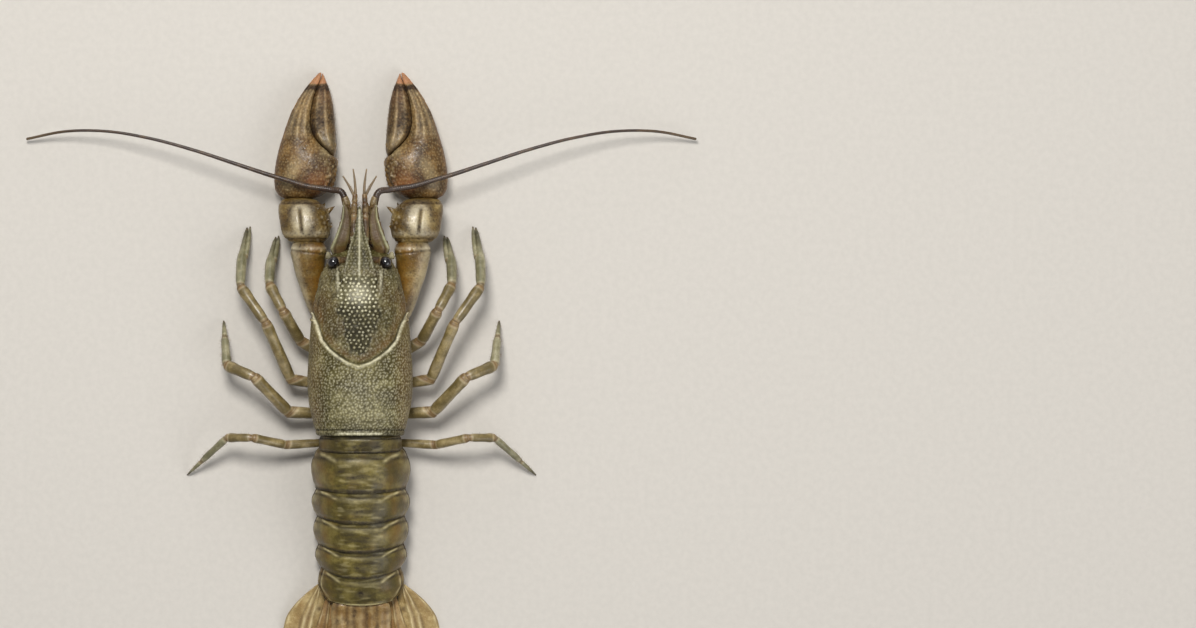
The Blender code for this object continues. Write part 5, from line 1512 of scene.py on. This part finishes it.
feelers = {
    "stem": [(0.95, -22.4, 13.4, 0.5, 0.5), (0.98, -24.0, 13.35, 0.6, 0.54), (1.0, -26.0, 13.3, 0.62, 0.52),
             (1.0, -30.0, 13.2, 0.56, 0.5), (0.95, -31.7, 13.2, 0.5, 0.48), (0.85, -33.3, 13.2, 0.46, 0.42)],
    "outer": [(0.9, -32.9, 13.25, 0.28, 0.28), (1.9, -34.8, 13.4, 0.23, 0.23), (3.0, -36.6, 13.5, 0.12, 0.12)],
    "inner": [(0.75, -32.9, 13.1, 0.26, 0.26), (0.85, -35.2, 13.0, 0.22, 0.22),
              (1.2, -37.9, 12.8, 0.11, 0.11)],
    "base": [(3.9, -22.9, 10.4, 1.45, 1.0), (3.8, -23.4, 10.4, 1.5, 1.1), (3.45, -24.9, 10.4, 1.3, 1.1),
             (2.85, -27.4, 10.6, 1.05, 0.98), (2.5, -29.8, 10.8, 0.85, 0.87), (2.45, -31.6, 11.0, 0.78, 0.77),
             (2.8, -32.8, 11.1, 0.68, 0.67)],
    # y, inner x, outer x, underside, top
    "scale": [(-22.9, 2.8, 5.1, 10.7, 11.7), (-23.6, 2.5, 5.36, 10.95, 12.05), (-24.8, 2.1, 4.85, 11.6, 12.4),
              (-27.0, 1.75, 3.95, 11.8, 12.42), (-29.2, 1.7, 3.22, 11.8, 12.4),
              (-30.4, 1.95, 3.08, 11.87, 12.43), (-31.2, 2.4, 2.98, 11.95, 12.41),
              (-31.75, 2.72, 2.92, 12.05, 12.35)],
    "whip": [(2.85, -32.8, 11.15), (3.0, -33.3, 11.1), (3.35, -33.8, 11.0), (5.2, -34.2, 10.3),
             (9.8, -34.95, 9.5), (13.0, -35.9, 9.3), (15.9, -36.75, 9.1), (22.3, -38.85, 8.5),
             (30.1, -41.4, 7.6), (37.9, -43.5, 6.5), (45.7, -44.8, 5.2), (53.5, -44.8, 3.6),
             (60.4, -43.5, 1.6)],
}


def ringedWhip(name, stations, rings, depth, *nodes, sides=14, fair=0.0):
    # a whip whose many short rings stand out a little at their far ends
    piece = limbPiece(name, stations, sides, power=2.0, rings=rings * 4, roundEnds=(0.3, 0.6))
    points = pointsOf(piece)
    middle = smoothRows(stations, 600)[:, :3]
    steps = np.concatenate([[0], np.cumsum(np.linalg.norm(np.diff(middle, axis=0), axis=1))])
    nearest = np.array([np.argmin(((middle - point) ** 2).sum(axis=1)) for point in points])
    share = steps[nearest] / steps[-1]
    radii = np.interp(np.linspace(0, 1, 600), np.linspace(0, 1, len(stations)), [row[3] for row in stations])
    saw = (share * rings) % 1.0
    flare = smoothStep(0.1, 0.8, saw) - smoothStep(0.85, 1.0, saw) - 0.4
    puff(piece, depth * (radii[nearest] / radii[0]) * flare)
    paintAll(piece, dark=0.6 * smoothStep(0.8, 1.0, saw) + 0.6 * smoothStep(0.12, 0.0, saw),
             warm=0.35 * hump(saw, 0.5, 0.2), pale=fair + 0.25 * smoothStep(0.8, 1.0, share))
    return finishPiece(piece, feelerLook, "feeler", *nodes)


def makeAntennule(data):
    stem = limbPiece("antennuleStem_left", data["stem"], 26, rings=90, roundEnds=(0.3, 0.4))
    points, _, y, _, _ = measured(stem)
    joints = hump(y, -29.9, 0.15) + hump(y, -31.8, 0.13)
    swollen = hump(y, -29.4, 0.3) + hump(y, -31.4, 0.25)
    puff(stem, -0.13 * joints + 0.05 * swollen + 0.02 * cloud(points, 0.8, 3))
    paintAll(stem, warm=0.3 * patches(points, 1.2, 5) + 0.3 * joints, dark=0.5 * joints,
             pale=0.2 * hump(y, -29.4, 0.3))
    node = "antennule_left"
    return [finishPiece(stem, mouthLook, "feeler", node),
            ringedWhip("antennuleOuter_left", data["outer"], 22, 0.05, node, fair=0.5),
            ringedWhip("antennuleInner_left", data["inner"], 26, 0.045, node, fair=0.5)]


def makeAntennaBase(data):
    parts = [limbPiece("antennaBase_left", data["base"], 36, rings=110, roundEnds=(0.3, 0.4)),
             spinePiece("spine", (4.7, -23.9, 10.2), (0.2, -1, 0.05), 1.2, 0.42),
             spinePiece("spine", (3.4, -26.9, 10.0), (0.2, -1, 0), 0.9, 0.32)]
    base = clay("antennaBase_left", parts, 0.11, 2)
    points, _, y, z, _ = measured(base)
    joints = hump(y, -25.4, 0.17) + hump(y, -28.7, 0.16) + hump(y, -31.3, 0.15)
    puff(base, -0.17 * joints + 0.04 * cloud(points, 1.2, 3))
    soft = cloud(points, 1.5, 6)
    paintAll(base, warm=0.35 * smoothStep(0, 0.5, soft) + 0.35 * joints,
             dark=0.5 * joints + 0.35 * smoothStep(-25.4, -24.2, y),
             pale=0.3 * smoothStep(0.1, 0.5, -soft) + 0.3 * smoothStep(10.3, 9.8, z))
    return finishPiece(base, mouthLook, "limb", "antenna_base_left")


def makeAntennaScale(data):
    parts = [gridPiece("scaleForm", blockRings(data["scale"], 48, 90, 2.1)),
             spinePiece("spine", (2.82, -31.2, 12.2), (0.02, -1, 0.02), 1.1, 0.2)]
    scale = clay("antennaScale_left", parts, 0.1, 3)
    points, x, y, _, up = measured(scale)
    t = shareAcross(points, data["scale"])
    upper = smoothStep(0.1, 0.5, up)
    ridge = hump(t, 0.9, 0.1) * upper
    lamella = hump(t, 0.36, 0.28) * smoothStep(-24.0, -25.4, y)
    fine = np.sin(y * 13 + x * 5) * lamella * upper
    puff(scale, 0.12 * ridge - 0.1 * hump(t, 0.7, 0.09) * upper - 0.05 * lamella * upper + 0.008 * fine)
    soft = cloud(points, 1.4, 9)
    warm = 0.6 * smoothStep(-24.6, -23.4, y) + 0.85 * lamella * (0.8 + 0.3 * soft)
    warm += 0.2 * smoothStep(0.1, 0.6, soft)
    dark = 0.6 * lamella + 0.5 * smoothStep(-24.0, -23.2, y) + 0.5 * hump(t, 0.7, 0.06) * upper + 0.1 * fine
    paintAll(scale, warm=warm, dark=dark, pale=0.55 * ridge + 0.2 * smoothStep(0.06, 0.0, t))
    return finishPiece(scale, scaleLook, "limb", "antenna_base_left")


def makeFeelers(data):
    left = makeAntennule(data) + [makeAntennaBase(data), makeAntennaScale(data)]
    rows = []
    for x, y, z in data["whip"]:
        radius = 0.23 + 0.37 * math.exp(-((x - 2.85) / 57.5) / 0.3)
        rows.append((x, y, z, radius, radius))
    left.append(ringedWhip("antennaWhip_left", rows, 150, 0.05, "antenna_inner_left", "antenna_outer_left",
                           sides=12))
    for piece in left:
        mirrored(piece)


makeFeelers(feelers)
print("feelers ready")


# ------- foot jaws

footJaw = [(1.4, -11.3, 4.6, 0.9, 0.9), (1.9, -13.4, 4.7, 1.4, 1.0), (2.35, -16.5, 4.8, 1.95, 1.05),
           (2.45, -20.0, 5.2, 2.1, 1.05), (2.3, -22.6, 5.7, 1.85, 1.05), (1.95, -24.2, 6.1, 1.25, 1.0),
           (1.85, -25.2, 6.4, 1.35, 1.05), (1.7, -27.6, 7.1, 1.2, 0.9), (1.2, -30.2, 7.9, 0.8, 0.65),
           (1.0, -31.8, 8.5, 0.4, 0.35)]


def makeFootJaw(stations):
    rows = np.array(stations)
    parts = [limbPiece("jawForm", stations, 36, rings=120)]
    for i in range(12):
        # small teeth along the inner edge of the long joint
        y = -13.6 - i * 0.75
        reach = np.interp(-y, -rows[:, 1], rows[:, 0] - rows[:, 3])
        height = np.interp(-y, -rows[:, 1], rows[:, 2])
        parts.append(spinePiece("tooth", (reach + 0.22, y, height), (-1, -0.35, 0.1), 0.42, 0.24))
    jaw = clay("footJaw_left", parts, 0.12, 2)
    points, x, y, _, up = measured(jaw)
    middle = np.interp(-y, -rows[:, 1], rows[:, 0])
    joints = hump(y, -12.9, 0.2) + hump(y, -24.3, 0.22) + hump(y, -27.0, 0.18) + hump(y, -29.6, 0.16)
    keel = hump(x - middle, 0.2, 0.35) * smoothStep(-0.2, -0.7, up) * smoothStep(-24.2, -23.0, y)
    puff(jaw, -0.22 * joints + 0.16 * keel - 0.05 * spots(points, 0.7, 3) + 0.04 * cloud(points, 1.6, 5))
    soft = cloud(points, 1.8, 8)
    paintAll(jaw, warm=0.35 * smoothStep(0.0, 0.5, soft) + 0.3 * joints,
             dark=0.55 * joints + 0.35 * smoothStep(0.15, 0.6, -soft),
             pale=0.4 * keel + 0.25 * smoothStep(-13, -12, y))
    mirrored(finishPiece(jaw, mouthLook, "limb", "maxilliped_left"))


makeFootJaw(footJaw)
print("foot jaws ready")


# ------- swimmerets

# share of x, then y, z, half width and half height from the root
swimmeretParts = [
    ([(1.02, -0.75, 0.75, 0.62, 0.45), (1.0, -0.3, -0.8, 0.56, 0.4), (0.94, 0.3, -1.5, 0.5, 0.36)], 22),
    ([(0.98, 0.1, -1.3, 0.34, 0.28), (1.08, 1.2, -1.75, 0.5, 0.2), (1.04, 2.2, -1.9, 0.36, 0.16),
      (1.0, 2.7, -1.95, 0.16, 0.12)], 26),
    ([(0.92, 0.2, -1.4, 0.34, 0.28), (0.78, 1.3, -1.85, 0.48, 0.2), (0.74, 2.4, -2.0, 0.34, 0.16),
      (0.74, 2.9, -2.05, 0.15, 0.12)], 26),
]


def makeSwimmeret(index):
    front, rear, bulge, widths, _, topRear, _, lowRear = tail["plates"][index]
    rootX, rootY = widths[1] * 0.52, (front + rear) / 2 - bulge * 0.3
    rootZ = lowRear + (topRear - lowRear) * 0.27
    parts = []
    for rows, rings in swimmeretParts:
        stations = [(rootX * share, rootY + y, rootZ + z, half, high) for share, y, z, half, high in rows]
        parts.append(limbPiece("paddle", stations, 18, rings=rings))
    piece = clay("swimmeret_%d_left" % (index + 1), parts, 0.09, 2)
    points, _, y, _, _ = measured(piece)
    rings = np.sin((y - rootY) * 12) * smoothStep(rootY + 0.4, rootY + 0.9, y)
    puff(piece, 0.02 * rings + 0.02 * cloud(points, 0.7, index))
    paintAll(piece, warm=0.3 * patches(points, 1.0, index + 4), dark=0.25 * (rings < -0.6),
             pale=0.4 + 0.3 * smoothStep(rootY + 0.5, rootY + 2.5, y))
    mirrored(finishPiece(piece, bellyLook, "underside"))


for index in range(1, 5):
    makeSwimmeret(index)


# ------- fringes and sparse bristles

def flatEdge(ways):
    return np.abs(ways[:, 2]) < 0.45


# piece that wears the coat, where it grows, count, length, radius, lean, slot, seed and bow;
# the lean is added to the way that the surface faces
coats = {
    "fringe_telson": ("telsonBlade", lambda x, y, z, n: (y > 50.4) & flatEdge(n) & (n[:, 1] > -0.2),
                      420, 1.15, 0.028, (0, 0.9, 0), "tail_fan", 1, 0.08),
    "fringe_inner_left": ("fanBlade_inner_left", lambda x, y, z, n: (y > 46) & flatEdge(n) & (n[:, 1] > -0.1),
                          420, 1.1, 0.028, (0, 0.8, 0), "tail_fan", 2, 0.08),
    "fringe_outer_left": ("fanBlade_outer_left",
                          lambda x, y, z, n: (y > 46) & flatEdge(n) & ((n[:, 1] > 0.1) | (x < 9)),
                          480, 1.1, 0.028, (0, 0.8, 0), "tail_fan", 3, 0.02),
    "fringe_scale_left": ("antennaScale_left", lambda x, y, z, n: (y < -24.5) & (n[:, 0] < -0.6),
                          150, 0.75, 0.024, (-0.3, -0.6, 0), "limb", 4, 0.15),
    "beard_left": ("footJaw_left", lambda x, y, z, n: (y < -12.5) & (n[:, 0] < -0.35),
                   620, 0.95, 0.026, (-0.2, -0.7, -0.1), "limb", 5, 0.15),
    "beardTip_left": ("footJaw_left", lambda x, y, z, n: y < -24.4,
                      320, 0.8, 0.024, (-0.1, -0.9, 0), "limb", 6, 0.15),
    "fringe_shell": ("carapace",
                     lambda x, y, z, n: (n[:, 2] < -0.7) & (np.abs(x) > 5.5) & (y > -20) & (z < 7.4),
                     520, 0.42, 0.02, (0, 0.1, -0.3), "shell", 20, 0.15),
    "bristlesClaw_left": ("clawHand_left",
                          lambda x, y, z, n: (x < 6.2) & (y > -43) & (n[:, 0] < -0.3) & (z > 1),
                          90, 0.4, 0.02, (-0.1, -0.4, 0), "claw", 60, 0.15),
    "bristlesFinger_left": ("clawFinger_left",
                            lambda x, y, z, n: (np.abs(n[:, 2]) < 0.5) & (y < -44) & (n[:, 0] < -0.4),
                            90, 0.35, 0.018, (0, -0.5, 0), "claw", 61, 0.15),
    "bristlesStem_left": ("antennaBase_left", lambda x, y, z, n: (n[:, 2] < 0.4) & (y > -31.5),
                          60, 0.4, 0.018, (0, -0.6, 0), "limb", 62, 0.15),
    "bristlesWhisker_left": ("antennuleOuter_left", lambda x, y, z, n: n[:, 2] < -0.2,
                             90, 0.3, 0.014, (0, -0.5, -0.2), "feeler", 63, 0.15),
}


def coatOn(name, pieceName, choose, count, length, radius, lean, slot, seed, bow=0.15):
    # bristles on chosen points of a finished piece, and on its other side's twin
    piece = bpy.data.objects[pieceName]
    points, ways = pointsOf(piece) / mm, normalsOf(piece)
    fit = np.flatnonzero(choose(*points.T, ways))
    chosen = np.random.default_rng(seed).choice(fit, min(count, len(fit)), replace=False)
    ways = ways[chosen] + np.array(lean)
    coat = hairPiece(name, points[chosen], ways, length, radius, hairLook, slot, bow, seed)
    if "left" in name:
        mirrored(coat)


def wear(*names):
    for name in names:
        coatOn(name, *coats[name])


def makeBristles():
    wear("fringe_telson", "fringe_inner_left", "fringe_outer_left", "fringe_scale_left", "beard_left",
         "beardTip_left")
    for index in range(1, 6):
        lowest = max(tail["plates"][index][6:]) + 0.9
        coatOn("fringe_plate_%d" % (index + 1), "tailPlate_%d" % (index + 1),
               lambda x, y, z, n: (n[:, 2] < -0.35) & (z < lowest),
               240, 0.5, 0.02, (0, 0.3, -0.4), "abdomen", 10 + index)
    wear("fringe_shell")
    for number in legs:
        pincer = number in "23"
        last = "Finger" if pincer else "Nail"
        parts = (("Hand", 130, 0.5), ("Wrist", 40, 0.4), ("Thigh", 36, 0.4), (last, 70, 0.4))
        for part, count, length in parts:
            coatOn("bristles%s_%s_left" % (part, number), "leg%s_%s_left" % (part, number),
                   lambda x, y, z, n: z > 0.7,
                   count, length, 0.018, (0, -0.5 if pincer else -0.2, -0.1), "limb", 30 + int(number) + count)
    for number in range(2, 6):
        coatOn("fringe_swimmeret_%d_left" % number, "swimmeret_%d_left" % number,
               lambda x, y, z, n: flatEdge(n) & (z < z.max() - 2.0),
               260, 0.75, 0.022, (0, 0.9, -0.3), "underside", 50 + number)
    wear("bristlesClaw_left", "bristlesFinger_left", "bristlesStem_left", "bristlesWhisker_left")


makeBristles()
print("swimmerets and bristles ready")


# ------- floor, light and camera

stage = {
    "floor": (196, 191, 183), "size": 3.0,
    # the camera looks straight down from far off; heights in metres
    "lens": 300, "sensor": 36, "viewFrom": (-0.04275, -0.01188), "viewWidth": 0.21528, "viewLevel": 0.008,
}


def plainLook(name, colour, rough):
    look, tree, shader = newLook(name)
    speck = rangeNode(tree, noiseNode(tree, placeNode(tree), 900.0, 3, 0.6), 0.35, 0.65)
    tint = linear(*colour)
    shade = (*(c * 0.95 for c in tint[:3]), 1)
    feed(tree, shader, {"Base Color": mixColour(tree, speck, shade, tint), "Roughness": rough})
    return look


clearSelection()
bpy.ops.mesh.primitive_plane_add(size=stage["size"])
floor = newest("floor")
floor.data.materials.append(plainLook("pale board", stage["floor"], 0.75))


def softLamp(name, place, target, size, power, colour=(1, 1, 1), shine=1.0):
    lamp = bpy.data.lights.new(name, "AREA")
    lamp.shape, lamp.size, lamp.energy = "DISK", size, power
    lamp.color, lamp.specular_factor = colour, shine
    holder = bpy.data.objects.new(name, lamp)
    bpy.context.scene.collection.objects.link(holder)
    holder.location = place
    holder.rotation_euler = (Vector(target) - Vector(place)).to_track_quat("-Z", "Y").to_euler()


softLamp("key", (0.06, -0.27, 0.62), (0, 0, 0), 0.2, 4.0, (1.0, 0.985, 0.96))
softLamp("fill", (-0.5, 0.35, 0.5), (0, 0, 0), 0.6, 2.0, (0.99, 0.99, 1.0), 0.0)
softLamp("front", (0.0, -0.7, 0.3), (0, -0.02, 0.01), 0.4, 0.8)
world = bpy.data.worlds.new("room")
world.use_nodes = True
sky = world.node_tree.nodes["Background"].inputs
sky[0].default_value, sky[1].default_value = (0.95, 0.97, 1.0, 1), 0.3
bpy.context.scene.world = world
bpy.context.scene.view_settings.view_transform = "Standard"

camera = bpy.data.cameras.new("camera")
camera.sensor_width, camera.lens, camera.clip_start = stage["sensor"], stage["lens"], 0.1
viewer = bpy.data.objects.new("camera", camera)
bpy.context.scene.collection.objects.link(viewer)
distance = stage["viewWidth"] * stage["lens"] / stage["sensor"]
viewer.location = (*stage["viewFrom"], distance + stage["viewLevel"])
viewer.rotation_euler = (0, 0, math.pi)
bpy.context.scene.camera = viewer
